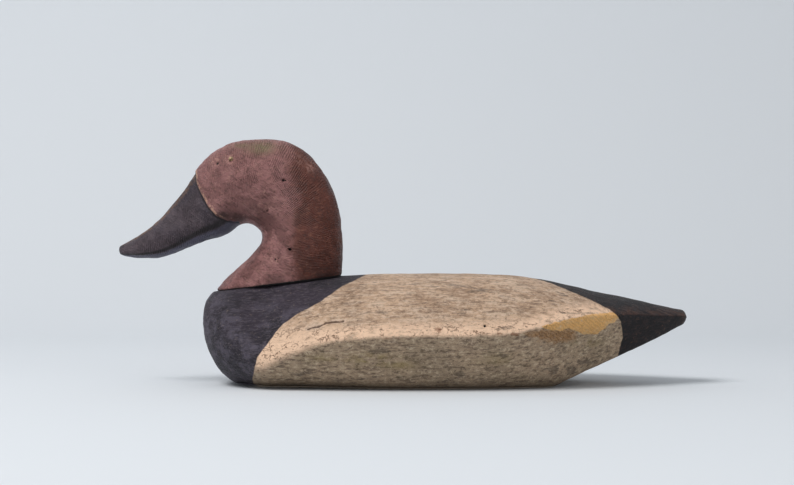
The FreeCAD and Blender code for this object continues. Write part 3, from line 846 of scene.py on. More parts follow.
    def split(self, rows: np.ndarray, half: Half) -> np.ndarray:
        """Cuts one side's rows at the seam and closes them with the flat joint face.

        The flat bottom's points, up to the inner share of a row, always count as below the seam.

        Args:
            rows: (rows, points, values) of one side.
            half: which half to keep.

        Returns:
            The half's rows, closed at the midplane.
        """
        last = rows.shape[1] - 1
        inner = int(last * self.inner_share)
        height = rows[..., 2] - np.where(np.arange(last + 1) < inner, 1e3, 0.0)
        first = np.clip((height < self.seam).sum(axis=1), inner, last)
        number = np.arange(len(rows))
        low, high = rows[number, first - 1, 2], rows[number, first, 2]
        share = np.clip((self.seam - low) / np.maximum(high - low, 1e-6), 0, 1)
        cut = (first - 1 + share)[:, None]
        t = np.linspace(0, 1, self.round_points)[None]
        carved = read_rows(rows, cut + (last - cut) * t if half is Half.TOP else cut * t)
        shares = np.linspace(0, 1, self.flat_points, endpoint=False)[None, :, None]
        flat = np.repeat(read_rows(rows, cut), self.flat_points, axis=1)
        flat[..., 1:2] *= shares
        return np.concatenate([flat, carved] if half is Half.TOP else [carved, flat[:, ::-1]], axis=1)

    def build(self, half: Half) -> bpy.types.Object:
        """Makes one half with the values that its paint reads.

        The bottom's rings run only where its keel is below the seam.

        Args:
            half: which half to make.

        Returns:
            The painted half.
        """
        spread = np.linspace(*self.ends, self.rings)
        if half is Half.BOTTOM:
            tries, least = 4001, 0.05
            wide = np.linspace(0, 1, tries)
            below = wide[self.stations.read(wide)[:, 1] * self.height < self.seam - least]
            spread = np.linspace(below[0], below[-1], self.rings)
        right, left = (self.split(self.carved_side(spread, sign), half) for sign in (1, -1))
        rings = np.concatenate([right, left[:, -2:0:-1]], axis=1)
        piece = build_mesh(f"painted_{half.value}", rings[..., :3],
                           {name: rings[..., 3 + k] for k, name in enumerate(self.VALUES)})
        if half is Half.BOTTOM:
            cut_pockets(piece, self.pockets)
        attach(piece, "decoy")
        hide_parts(half.value)
        LOG.info("%s: %d faces", piece.name, len(piece.data.polygons))
        return piece


def round_hole(rings: np.ndarray, pit: Pit) -> np.ndarray:
    """1 in the middle of a hole and 0 outside it, smooth at its lip.

    The hole's centre is the carved point nearest to it in side view, on its own side of the
    midplane.

    Args:
        rings: (rings, points, 3) points.
        pit: the hole.

    Returns:
        The level at each point.
    """
    off = (rings[..., 0] - pit.x) ** 2 + (rings[..., 2] - pit.z) ** 2
    off = off + np.where(rings[..., 1] * pit.side < 0, 1e6, 0) + (0 if pit.side else rings[..., 1] ** 2)
    centre = rings[np.unravel_index(off.argmin(), off.shape)]
    return 1 - soft_step(np.linalg.norm(rings - centre, axis=2), *(share * pit.radius for share in HOLE_LIP))


def hole_depths(rings: np.ndarray, pits: tuple[Pit, ...]) -> np.ndarray:
    """How far each point is sunk by the deepest hole over it, in millimetres.

    Args:
        rings: (rings, points, 3) points.
        pits: the holes.

    Returns:
        The depth at each point.
    """
    depths = np.zeros(rings.shape[:2])
    for pit in pits:
        depths = np.maximum(depths, pit.depth * round_hole(rings, pit))
    return depths


# ---------------------------------------------------------------- the head

@dataclass
class Head:
    """Bill, head and neck, carved in one.

    A ring runs round from the front outline to the back outline. Both outlines are listed in
    step, in millimetres behind the bill tip and above the front of the seat.
    """

    tip_x: float
    seat_z: float
    rings: int = 360
    around: int = 220
    fullness: float = 0.84
    boxiness: float = 0.16
    chin_station: float = 10.3
    crowding: float = 1.12
    seat_front: float = 66.5
    box_from: tuple[float, float] = (60.0, 110.0)
    bill_end: tuple[float, float] = (48.0, 66.0)
    bevel: tuple[float, float, float] = (0.62, 0.85, 40.0)
    step_edge: tuple[float, float] = (-0.5, 0.9)
    step_fade: tuple[float, float] = (1.0, 26.0)
    step_above: tuple[float, float] = (44.0, 52.0)
    clear_of_seat: tuple[float, float] = (1.0, 6.0)
    clear_of_tip: tuple[float, float] = (1.0, 10.0)
    ripples: tuple[Ripple, ...] = (Ripple(0.34, 26.0, 8), Ripple(0.24, 11.0, 9), Ripple(0.12, 5.0, 10))
    inset: float = 0.58
    #   back x  back z  front x front z half width  egg
    table: np.ndarray = field(default_factory=lambda: np.array([
        (0.0,   29.2,   0.2,   27.8,   1.0,  0.10),
        (0.8,   30.5,   1.0,   25.5,   5.5,  0.12),
        (3.7,   32.4,   4.8,   23.5,   9.0,  0.15),
        (12.7,  37.9,  13.2,   22.0,  12.0,  0.20),
        (23.2,  45.6,  25.2,   22.4,  12.7,  0.24),
        (33.2,  55.8,  36.7,   24.7,  12.5,  0.24),
        (42.2,  67.6,  48.2,   29.5,  13.0,  0.20),
        (49.7,  79.0,  59.7,   33.9,  14.8,  0.14),
        (56.2,  87.8,  69.2,   36.4,  17.8,  0.08),
        (66.7,  96.6,  75.7,   39.8,  21.8,  0.03),
        (79.2, 102.0,  81.2,   44.2,  25.0,  0.00),
        (94.2, 103.9,  86.7,   45.9,  27.0,  0.00),
        (109.6, 102.9, 91.2,   44.7,  27.6,  0.00),
        (123.5, 97.7,  94.6,   42.3,  27.0,  0.00),
        (134.9, 87.1,  96.6,   39.6,  26.0,  0.00),
        (143.9, 72.9,  97.2,   36.6,  25.2,  0.00),
        (149.4, 58.3,  96.4,   33.0,  25.0,  0.00),
        (151.4, 44.5,  93.7,   29.0,  25.6,  0.02),
        (152.5, 32.0,  88.9,   24.0,  26.6,  0.03),
        (152.4, 21.0,  81.7,   17.0,  27.8,  0.04),
        (151.4, 12.6,  73.0,    8.9,  28.6,  0.04),
        (150.4, 10.4,  67.2,    1.6,  28.4,  0.04),
        (148.4,  9.6,  67.8,   0.15,  27.4,  0.04)]))
    bill_line: tuple[tuple[float, float], ...] = (
        (47.0, 90.0), (52.3, 80.0), (53.6, 73.0), (57.8, 64.6), (62.0, 57.0), (67.4, 50.6), (74.0, 47.5),
        (84.0, 46.6), (92.0, 40.0))
    pits: tuple[Pit, ...] = (
        Pit(67.6, 86.6, -1, 1.2, 1.4), Pit(88.0, 84.6, -1, 0.9, 0.5), Pit(113.4, 74.6, -1, 1.1, 1.6),
        Pit(114.9, 74.0, -1, 0.9, 1.3), Pit(140.4, 60.0, -1, 1.1, 0.6), Pit(102.0, 54.0, -1, 1.2, 0.7),
        Pit(100.0, 53.2, -1, 0.9, 0.6), Pit(117.4, 28.8, -1, 1.1, 1.8), Pit(108.0, 22.4, -1, 1.0, 1.1),
        Pit(110.0, 22.9, -1, 0.9, 1.0), Pit(109.2, 20.9, -1, 0.8, 0.9), Pit(116.8, 29.0, 1, 1.7, 2.6),
        Pit(108.8, 22.4, 1, 1.7, 2.2), Pit(96.0, 62.0, 1, 1.5, 1.3), Pit(124.0, 50.0, 1, 1.2, 0.8))
    khaki: tuple[Blot, ...] = (Blot(98.0, 96.5, 10.0, 4.2, 1.0), Blot(86.0, 98.0, 9.0, 2.2, 0.7))
    # Painted shade under the cheek, behind the chin.
    cheek_shade: tuple[Blot, ...] = (
        Blot(72.0, 51.0, 8.0, 3.6, 1.0), Blot(82.0, 49.5, 8.0, 3.6, 0.9),
        Blot(92.0, 55.0, 6.0, 4.0, 0.45))
    pale: tuple[Blot, ...] = (
        Blot(77.0, 88.8, 3.2, 2.6, 0.8), Blot(66.5, 88.5, 4.0, 3.6, 0.55),
        Blot(64.5, 57.0, 3.4, 3.4, 0.5), Blot(101.0, 66.5, 1.0, 1.0, 1.0),
        Blot(97.2, 58.5, 1.0, 1.0, 1.0), Blot(106.8, 21.6, 3.0, 2.4, 0.8),
        Blot(122.0, 88.0, 6.0, 5.0, 0.2), Blot(98.0, 57.0, 12.0, 4.0, 0.25),
        Blot(131.0, 84.0, 3.5, 3.5, 0.4))

    def surface(self) -> tuple[np.ndarray, np.ndarray, np.ndarray]:
        """The smooth head, before any knife mark.

        A ring's point lies at the outline's middle, plus half of its height times minus the
        cosine of the angle, and its half width times the sine to the power of the fullness. The
        egg share widens the lower part of the bill's rings.

        Returns:
            The (rings, around, 3) points, each one's height in its ring from -1 to 1, and its
            station.
        """
        place = np.linspace(0, 1, self.rings) ** self.crowding
        row = monotone_curve(np.linspace(0, 1, len(self.table)), self.table, place)
        angle = np.linspace(0, 2 * math.pi, self.around, endpoint=False)[None]
        up, out = -np.cos(angle), np.sin(angle)
        bx, bz, fx, fz, wide, egg = (row[:, k, None] for k in range(6))
        x = (bx + fx) / 2 + (bx - fx) / 2 * up
        z = (bz + fz) / 2 + (bz - fz) / 2 * up
        width = wide * (1 - egg * up)
        fullness = self.fullness - self.boxiness * soft_step(bx, *self.box_from)
        y = width * np.sign(out) * np.abs(out) ** fullness
        bill = 1 - soft_step(fx, *self.bill_end)
        foot, rise, release = self.bevel
        limit = width * (foot + rise * (up + 1)) + release * (1 - bill)
        y = np.sign(y) * np.where(bill > 0, np.minimum(np.abs(y), limit), np.abs(y))
        station = (place * (len(self.table) - 1))[:, None]
        return (np.stack([x, y, z], axis=-1), np.broadcast_to(up, x.shape),
                np.broadcast_to(station, x.shape))

    def above_seat(self, points: np.ndarray) -> np.ndarray:
        """How far each point stands above the sloping seat, in millimetres."""
        return points[..., 2] - (points[..., 0] - self.seat_front) * SEAT_SLOPE

    def build(self) -> bpy.types.Object:
        """Makes the head with its marks, its holes and the values that its paint reads.

        Returns:
            The painted head.
        """
        local, ridge, stroke = self.surface()
        line = side_distance(local, np.array(self.bill_line))
        line = np.where(stroke < self.chin_station, line, np.minimum(line, -3.0))
        wrapped = np.concatenate([local[:, -1:], local, local[:, :1]], axis=1)
        normal = outward(wrapped)[:, 1:-1]
        if np.einsum("ijk,ijk->", normal, local - local.mean(axis=(0, 1))) < 0:
            normal = -normal
        step = soft_step(line, *self.step_edge) * (1 - soft_step(line, *self.step_fade))
        step = step * soft_step(local[..., 2], *self.step_above)
        free = soft_step(self.above_seat(local), *self.clear_of_seat)
        free = free * soft_step(local[..., 0], *self.clear_of_tip)
        uneven = sum(wave.at(local) for wave in self.ripples) - self.inset
        sunk = hole_depths(local, self.pits)
        local = local + normal * (uneven * free - sunk - step)[..., None]
        placed = local + np.array([self.tip_x, 0.0, self.seat_z])
        base = self.above_seat(local)
        piece = build_mesh("painted_head", placed, {
            "bill": line, "sunk": sunk, "base": base, "ridge": ridge, "stroke": stroke,
            "khaki": blots(local, self.khaki), "pale": blots(local, self.pale),
            "cheek_shade": blots(local, self.cheek_shade)})
        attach(piece, "decoy")
        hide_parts("head")
        LOG.info("%s: %d faces", piece.name, len(piece.data.polygons))
        return piece


# ---------------------------------------------------------------- finishes

FLAKE: Tone = (222, 196, 172)
GRIME: Tone = (104, 86, 72)


@dataclass(frozen=True)
class BodyPaint:
    """Old off-white oil paint over pine, with a black breast and rump."""

    cream: Tone = (206, 173, 144)
    # low: the paint below the chine, dirtier than the cream and partly darkened as painted shade.
    low: Tone = (176, 152, 126)
    wood: Tone = (250, 192, 116)
    black: Tone = (50, 42, 52)
    tail: Tone = (24, 20, 22)
    raw_wood: Tone = (156, 120, 82)
    chine_fade: tuple[float, float] = (1.5, -3.0)
    paint_edge: tuple[float, float] = (-0.35, 0.35)
    bare_cover: float = 0.85
    raggedness: float = 5.0
    bow_fade: tuple[float, float, float] = (-0.030, -0.085, -0.62)
    roughness: float = 0.5
    gloss: float = 0.3
    relief_depth: float = 0.0014
    noises: ClassVar[dict[str, Pattern]] = {
        "cloud": Pattern(38.0, 6.0, 0.62),
        "patch": Pattern(130.0, 6.0, 0.68, (0.5, 1, 1)),
        "grain": Pattern(1.0, 6.0, 0.74, (85, 400, 560)),
        "fibre": Pattern(1.0, 4.0, 0.7, (210, 900, 1100)),
        "speck": Pattern(640.0, 3.0, 0.75, (0.6, 1, 1)),
        "crumb": Pattern(420.0, 5.0, 0.75, (0.7, 1, 1)),
        "ragged": Pattern(210.0, 5.0, 0.65)}
    # Above the chine: tan clouds, lifted flakes, dirt in the grain.
    upper: tuple[Coat, ...] = (
        Coat("cloud", 0.38, 0.62, 1.0, (172, 141, 115)), Coat("patch", 0.48, 0.60, 0.55, FLAKE),
        Coat("patch", 0.46, 0.36, 0.32, (142, 112, 90)), Coat("grain", 0.50, 0.58, 0.52, GRIME),
        Coat("fibre", 0.48, 0.38, 0.45, FLAKE), Coat("crumb", 0.47, 0.38, 0.60, FLAKE),
        Coat("crumb", 0.53, 0.61, 0.54, (106, 82, 62)))
    # Below it: dirtier and darker, partly a painted shade on the side that faces down; yellowed patches, and
    # a painted shade that darkens the foot towards the floor.
    lower: tuple[Coat, ...] = (
        Coat("cloud", 0.40, 0.62, 1.0, (158, 138, 114)), Coat("fibre", 0.47, 0.36, 0.45, (196, 174, 150)),
        Coat("grain", 0.49, 0.59, 0.68, GRIME), Coat("crumb", 0.54, 0.62, 0.66, (80, 66, 54)),
        Coat("crumb", 0.47, 0.38, 0.60, (214, 194, 166)),
        Coat("patch", 0.40, 0.56, 1.0, (150, 132, 84), "olive"),
        # Painted shade: darker towards the floor below 12 mm.
        Coat("height", 0.012, 0.0, 0.6, (84, 68, 54)))
    # Along the chine: rubbed pale, and crazed.
    worn: tuple[Coat, ...] = (
        Coat("patch", 0.30, 0.50, 1.0, (246, 209, 178), "band"),
        Coat("craze", None, None, 0.7, (120, 76, 50)))
    # Bare wood near the tail, marked by the rasp.
    bared: tuple[Coat, ...] = (
        Coat("rasp", 0.45, 0.9, 0.28, (168, 118, 70)), Coat("height", 0.043, 0.034, 0.45, (170, 130, 82)),
        Coat("patch", 0.50, 0.62, 0.5, (232, 196, 150)))
    # Rasped paint, rust, stains and specks.
    marks: tuple[Coat, ...] = (
        Coat("scraped", None, None, 0.70, (170, 124, 76)),
        Coat("rasp", 0.5, 0.9, 0.55, (96, 68, 42), "scraped"),
        Coat("rusty", 0.45, 0.85, 0.6, (120, 66, 34)), Coat("stained", None, None, 0.60, (86, 74, 64)),
        Coat("speck", 0.61, 0.68, 0.65, (78, 58, 44)), Coat("speck", 0.39, 0.32, 0.5, FLAKE))
    # The black breast, with scuffs and a painted highlight where the chine rounds over it.
    front: tuple[Coat, ...] = (
        # The second coat is painted shade: the breast darkens towards the floor.
        Coat("cloud", 0.42, 0.64, 1.0, (34, 29, 36)), Coat("height", 0.048, 0.014, 0.85, (32, 27, 36)),
        Coat("scuff_and_highlight", None, None, 0.75, (98, 91, 104)), Coat("fibre", 0.51, 0.60, 0.6, (92, 84, 92)),
        Coat("grain", 0.52, 0.62, 0.5, (30, 24, 30)), Coat("speck", 0.61, 0.68, 0.6, (124, 110, 104)))
    # The black rump, with wood showing at its ridge and tip.
    stern: tuple[Coat, ...] = (
        Coat("grain", 0.50, 0.62, 0.45, (66, 48, 44)),
        Coat("patch", 0.42, 0.60, 0.5, (96, 64, 52), "ridge"),
        Coat("patch", 0.44, 0.58, 0.4, (110, 74, 56), "tip"),
        Coat("speck", 0.61, 0.67, 0.6, (128, 90, 72)))
    # The open crack with its lifted lip, and painted shade in the nail holes.
    flaws: tuple[Coat, ...] = (
        Coat("patch", 0.40, 0.52, 0.7, (228, 200, 176), "lip"),
        # The second coat is painted shade in the nail holes.
        Coat("torn", 0.8, 0.3, 0.85, (70, 46, 34)), Coat("sunk", 0.35, 1.1, 1.0, (20, 14, 11)))
    cut_wood: tuple[Coat, ...] = (Coat("grain", 0.42, 0.60, 1.0, (108, 80, 54)),)
    relief: tuple[tuple[str, float], ...] = (
        ("grain", 0.7), ("fibre", 0.6), ("speck", 0.35), ("craze", -0.5), ("crumb", 0.5), ("worked", 0.3))

    def crazing(self, g: Graph) -> Socket:
        """Thin cracks: the edges of Voronoi cells whose places are shaken by a little noise.

        Args:
            g: the material's graph.

        Returns:
            1 on a crack and 0 beside it.
        """
        noise = g.add("ShaderNodeTexNoise", inputs={"Vector": g.place(), "Scale": 240.0, "Detail": 4.0})
        push = g.add("ShaderNodeVectorMath", {"operation": "SCALE"},
                     {0: noise.outputs["Color"], "Scale": 0.009}).outputs[0]
        where = g.place((0.75, 1, 1), (0, 20, 0))
        shaken = g.add("ShaderNodeVectorMath", {"operation": "ADD"}, {0: where, 1: push}).outputs[0]
        cells = g.add("ShaderNodeTexVoronoi", {"feature": "DISTANCE_TO_EDGE"},
                      {"Vector": shaken, "Scale": 260.0})
        return g.ramp(cells.outputs["Distance"], 0.08, 0.02)

    def rasping(self, g: Graph) -> Socket:
        """The rasp's slanting teeth marks: distorted bands at 52 degrees.

        Args:
            g: the material's graph.

        Returns:
            The level of the marks.
        """
        return g.add("ShaderNodeTexWave", {"wave_type": "BANDS", "bands_direction": "X"},
                     {"Vector": g.place((1, 1, 1), (0, 52, 0)), "Scale": 150.0, "Distortion": 9.0,
                      "Detail": 4.0, "Detail Scale": 2.0, "Detail Roughness": 0.65}).outputs["Fac"]

    def patterns(self, g: Graph) -> dict[str, Socket]:
        """Every pattern and mask that the coats read.

        Args:
            g: the material's graph.

        Returns:
            Each pattern by its name.
        """
        p = {name: g.pattern(noise) for name, noise in self.noises.items()}
        p |= {name: g.value(name) for name in ("sunk", "olive", "pocket")}
        where = g.where()
        line = g.value("chine")
        edge = g.math("MULTIPLY", g.math("SUBTRACT", p["ragged"], 0.5), self.raggedness)
        start, end, change = self.bow_fade
        soft = g.math("MULTIPLY_ADD", g.ramp(where["X"], start, end), change, 1.0)
        chine = g.both(g.math("ADD", line, edge), soft)
        p["height"] = where["Z"]
        p["upper"] = g.ramp(chine, *self.chine_fade)
        p["band"] = g.both(g.ramp(chine, -2.0, 1.0), g.ramp(chine, 12.0, 3.0))
        p["craze"] = g.both(self.crazing(g), g.both(p["band"], g.ramp(p["patch"], 0.49, 0.57)))
        p["bare"] = g.ramp(g.math("MULTIPLY_ADD", edge, 0.8, g.value("bare")), -0.4, 0.4)
        p["rasp"] = self.rasping(g)
        scraped = g.ramp(g.shaken(p["patch"], 1.6, g.value("rasped")), 0.3, 0.75)
        p["scraped"] = g.both(scraped, g.math("SUBTRACT", 1.0, p["bare"]))
        p["worked"] = g.both(p["rasp"], g.math("MAXIMUM", p["bare"], p["scraped"]))
        p["rusty"] = g.shaken(p["crumb"], 2.4, g.value("rust"))
        stained = g.shaken(p["grain"], 2.4, g.shaken(p["patch"], 3.2, g.value("stain")))
        p["stained"] = g.ramp(stained, 0.45, 0.95)
        for name in ("breast", "rump"):
            p[name] = g.ramp(g.math("MULTIPLY_ADD", edge, 0.28, g.value(name)), *self.paint_edge)
        # Scuffs and a painted highlight on the breast, along the rounded chine.
        near_chine = g.both(g.ramp(chine, -16.0, 0.0), g.ramp(chine, 22.0, 4.0))
        p["scuff_and_highlight"] = g.both(near_chine, g.ramp(p["patch"], 0.44, 0.60))
        p["ridge"] = g.both(g.ramp(line, -1.5, 1.0), g.ramp(line, 7.0, 2.0))
        p["tip"] = g.ramp(where["X"], 0.184, 0.193)
        p["torn"] = g.math("MULTIPLY_ADD", edge, 0.42, g.value("crack"))
        p["lip"] = g.ramp(p["torn"], 2.2, 1.0)
        return p

    def material(self) -> bpy.types.Material:
        """Lays the coats one over another, then sets gloss and relief.

        Returns:
            The body's paint.
        """
        g = Graph("body_paint")
        p = self.patterns(g)
        tone = g.coats(colour(*self.cream), p, self.upper)
        # Below the chine the low tone: dirtier, and partly a painted shade on the downward side.
        tone = g.mix(p["upper"], tone, g.coats(colour(*self.low), p, self.lower))
        tone = g.coats(tone, p, self.worn)
        tone = g.mix(g.both(p["bare"], self.bare_cover), tone, g.coats(colour(*self.wood), p, self.bared))
        tone = g.coats(tone, p, self.marks)
        tone = g.mix(p["breast"], tone, g.coats(colour(*self.black), p, self.front))
        tone = g.mix(p["rump"], tone, g.coats(colour(*self.tail), p, self.stern))
        tone = g.coats(tone, p, self.flaws)
        tone = g.mix(p["pocket"], tone, g.coats(colour(*self.raw_wood), p, self.cut_wood))
        g.shader.inputs["Specular IOR Level"].default_value = self.gloss
        rough = g.math("MULTIPLY_ADD", p["cloud"], 0.25, self.roughness)
        return g.finish(tone, rough, g.total(p, self.relief), self.relief_depth)


@dataclass(frozen=True)
class HeadPaint:
    """Red-brown oil paint over the rasped head, darkened towards the back as painted shade, and a black bill.
    """

    # front is the lit red-brown; back is the same paint darkened as painted shade on the back of the head and
    # neck.
    front: Tone = (150, 103, 100)
    back: Tone = (88, 40, 26)
    bill: Tone = (60, 50, 58)
    strokes: float = 9.0
    stroke_wander: float = 16.0
    roughness: float = 0.40
    gloss: float = 0.4
    relief_depth: float = 0.0014
    noises: ClassVar[dict[str, Pattern]] = {
        "cloud": Pattern(45.0, 6.0, 0.62),
        "blotch": Pattern(150.0, 6.0, 0.68),
        "fine": Pattern(380.0, 5.0, 0.68),
        "rasp": Pattern(1.0, 4.0, 0.65, (150, 400, 800), (0, -34, 0)),
        "scrape": Pattern(1.0, 4.0, 0.65, (200, 400, 900), (0, 18, 0)),
        "wander": Pattern(120.0, 4.0, 0.6),
        "toothed": Pattern(80.0, 3.0)}
    # Clouds, rasp marks, wear and a painted shade under the cheek; some with a darker copy for the painted
    # shade on the back.
    skin: tuple[Coat, ...] = (
        Coat("cloud", 0.46, 0.64, 0.22, (104, 60, 54)), Coat("blotch", 0.50, 0.62, 0.20, (80, 44, 38)),
        Coat("blotch", 0.48, 0.38, 0.25, (160, 112, 106), aft=(122, 70, 54)),
        Coat("rasp", 0.51, 0.62, 0.40, (60, 32, 26)),
        Coat("scrape", 0.53, 0.64, 0.42, (158, 116, 104), aft=(134, 84, 66)),
        Coat("tooth", 0.50, 0.95, 1.0, (60, 30, 24), "tooth_depth"),
        Coat("fine", 0.55, 0.66, 0.55, (60, 32, 28)), Coat("cheek_shade", None, None, 0.85, (44, 27, 26)),
        Coat("fine", 0.42, 0.32, 0.35, (176, 136, 126), aft=(136, 88, 70)),
        Coat("fine", 0.30, 0.50, 1.0, (124, 108, 82), "khaki"),
        Coat("fine", 0.46, 0.56, 1.0, (216, 164, 150), "pale"))
    # The black bill, its dark lip, a painted reflection of the floor's light on its underside, and its rubbed
    # upper edge.
    beak: tuple[Coat, ...] = (
        Coat("cloud", 0.44, 0.62, 1.0, (76, 64, 70)), Coat("blotch", 0.50, 0.60, 0.45, (44, 35, 40)),
        Coat("rasp", 0.53, 0.64, 0.5, (100, 86, 90)), Coat("fine", 0.58, 0.70, 0.5, (40, 32, 36)),
        Coat("ridge", -0.56, -0.66, 0.85, (24, 19, 21), "above_lip"),
        # Painted reflection: bluish floor light on the bill's underside.
        Coat("ridge", -0.74, -0.84, 0.7, (92, 93, 112)),
        Coat("fine", 0.40, 0.58, 0.7, (118, 84, 60), "top_edge"))
    # Painted shade under the step behind the bill, its pale rim, painted shade in the gap under the neck, and
    # painted shade in the nail holes.
    edges: tuple[Coat, ...] = (
        Coat("line", 1.9, 0.8, 0.75, (24, 17, 17), "step_shade"),
        Coat("fine", 0.42, 0.52, 0.9, (196, 152, 130), "rim"), Coat("joint", 0.9, 0.4, 1.0, (22, 14, 12)),
        # Painted shade in the nail holes.
        Coat("sunk", 0.3, 1.0, 1.0, (18, 10, 9)))
    relief: tuple[tuple[str, float], ...] = (("rasp", 0.8), ("scrape", 0.7), ("fine", 0.5), ("tooth", -0.45))

    def patterns(self, g: Graph) -> dict[str, Socket]:
        """Every pattern and mask that the coats read.

        Args:
            g: the material's graph.

        Returns:
            Each pattern by its name.
        """
        p = {name: g.pattern(noise) for name, noise in self.noises.items()}
        p |= {name: g.value(name) for name in ("ridge", "sunk", "cheek_shade", "khaki", "pale")}
        where = g.where()
        phase = g.math("MULTIPLY_ADD", g.value("stroke"), self.strokes * 2 * math.pi,
                       g.both(p["wander"], self.stroke_wander))
        tooth = g.math("MULTIPLY_ADD", g.math("SINE", phase), 0.5, 0.5)
        p["tooth"] = g.both(tooth, g.ramp(p["toothed"], 0.36, 0.58))
        # back: 1 on the back of the head and neck, where the paint is darkened as painted shade.
        p["back"] = g.ramp(g.shaken(p["cloud"], 0.024, where["X"]), -0.081, -0.067)
        p["tooth_depth"] = g.math("MULTIPLY_ADD", p["back"], 0.1, 0.30)
        p["line"] = g.shaken(p["fine"], 1.6, g.value("bill"))
        # Painted shade along the step behind the bill.
        p["step_shade"] = g.ramp(p["line"], -0.1, 0.4)
        rim = g.both(g.ramp(p["line"], 0.1, -0.3), g.ramp(p["line"], -1.9, -1.1))
        p["rim"] = g.both(rim, g.ramp(where["Z"], 0.110, 0.116))
        p["above_lip"] = g.ramp(p["ridge"], -0.80, -0.72)
        p["top_edge"] = g.ramp(p["ridge"], 0.72, 0.86)
        # Painted shade in the gap where the neck sits on the body.
        p["joint"] = g.shaken(p["fine"], 1.2, g.value("base"))
        return p

    def material(self) -> bpy.types.Material:
        """Lays the coats on the head and on the bill, then sets gloss and relief.

        Returns:
            The head's paint.
        """
        g = Graph("head_paint")
        p = self.patterns(g)
        # The lit front tone, darkened towards the back as painted shade.
        tone = g.coats(g.mix(p["back"], colour(*self.front), colour(*self.back)), p, self.skin)
        tone = g.mix(g.ramp(p["line"], -0.3, 0.3), tone, g.coats(colour(*self.bill), p, self.beak))
        tone = g.coats(tone, p, self.edges)
        g.shader.inputs["Specular IOR Level"].default_value = self.gloss
        rough = g.math("MULTIPLY_ADD", p["cloud"], 0.25, self.roughness)
        return g.finish(tone, rough, g.total(p, self.relief), self.relief_depth)


@dataclass(frozen=True)
class OldMetal:
    """A small metal part: its base colour, its stain, its roughness and how metallic it is."""

    name: str
    base: Tone
    stain: Tone
    roughness: float
    metallic: float
    cloud: Pattern = Pattern(300.0, 5.0, 0.65)
    pitting: Pattern = Pattern(1400.0, 3.0)
    stained: tuple[float, float] = (0.42, 0.62)
    relief_depth: float = 0.0002

    def material(self) -> bpy.types.Material:
        """Builds a blotchy metal with a lightly pitted skin.

        Returns:
            The finish.
        """
        g = Graph(self.name)
        cloud = g.pattern(self.cloud)
        tone = g.mix(g.ramp(cloud, *self.stained), colour(*self.base), colour(*self.stain))
        g.shader.inputs["Metallic"].default_value = self.metallic
        rough = g.math("MULTIPLY_ADD", cloud, 0.3, self.roughness)
        return g.finish(tone, rough, g.pattern(self.pitting), self.relief_depth)


@dataclass(frozen=True)
class BareWood:
    """Clean bare wood with its grain along X."""

    pale: Tone = (196, 158, 110)
    dark: Tone = (160, 118, 74)
    grain: Pattern = Pattern(1.0, 5.0, stretch=(300, 300, 20))
    darkened: tuple[float, float] = (0.4, 0.62)
    roughness: float = 0.6
    relief_depth: float = 0.0003

    def material(self) -> bpy.types.Material:
        """Builds pale wood from one stretched noise.

        Returns:
            The finish.
        """
        g = Graph("bare_wood")
        grain = g.pattern(self.grain)
        tone = g.mix(g.ramp(grain, *self.darkened), colour(*self.pale), colour(*self.dark))
        return g.finish(tone, self.roughness, grain, self.relief_depth)


METALS: tuple[OldMetal, ...] = (
    OldMetal("nail_iron", (66, 50, 42), (104, 60, 36), 0.55, 0.6),
    OldMetal("tack_brass", (186, 160, 126), (96, 72, 52), 0.35, 0.7),
    OldMetal("lead", (112, 114, 118), (148, 148, 148), 0.5, 0.5),
    OldMetal("screw_steel", (128, 120, 110), (104, 70, 48), 0.4, 0.8),
    OldMetal("tie_wire", (134, 126, 114), (98, 70, 50), 0.35, 0.85),
)

# The finish of each small part.
SMALL_PARTS: dict[str, str] = {
    "head_dowel": "bare_wood", "neck_nails": "nail_iron", "body_nails": "nail_iron",
    "eye_tack_left": "tack_brass", "eye_tack_right": "tack_brass", "ballast_weight": "lead",
    "ballast_screws": "screw_steel", "line_tie_staple": "tie_wire", "line_tie_ring": "tie_wire",
}


def dress(piece: bpy.types.Object, material: bpy.types.Material) -> None:
    """Gives a piece one material on all of its slots.

    Args:
        piece: the object to dress.
        material: its finish.
    """
    if not piece.data.materials:
        piece.data.materials.append(material)
    for slot in piece.material_slots:
        slot.material = material


# ---------------------------------------------------------------- stage, light and camera

@dataclass(frozen=True)
class Lamp:
    """A square soft lamp: its place and size in metres and its power in watts."""

    name: str
    place: tuple[float, float, float]
    size: float
    power: float


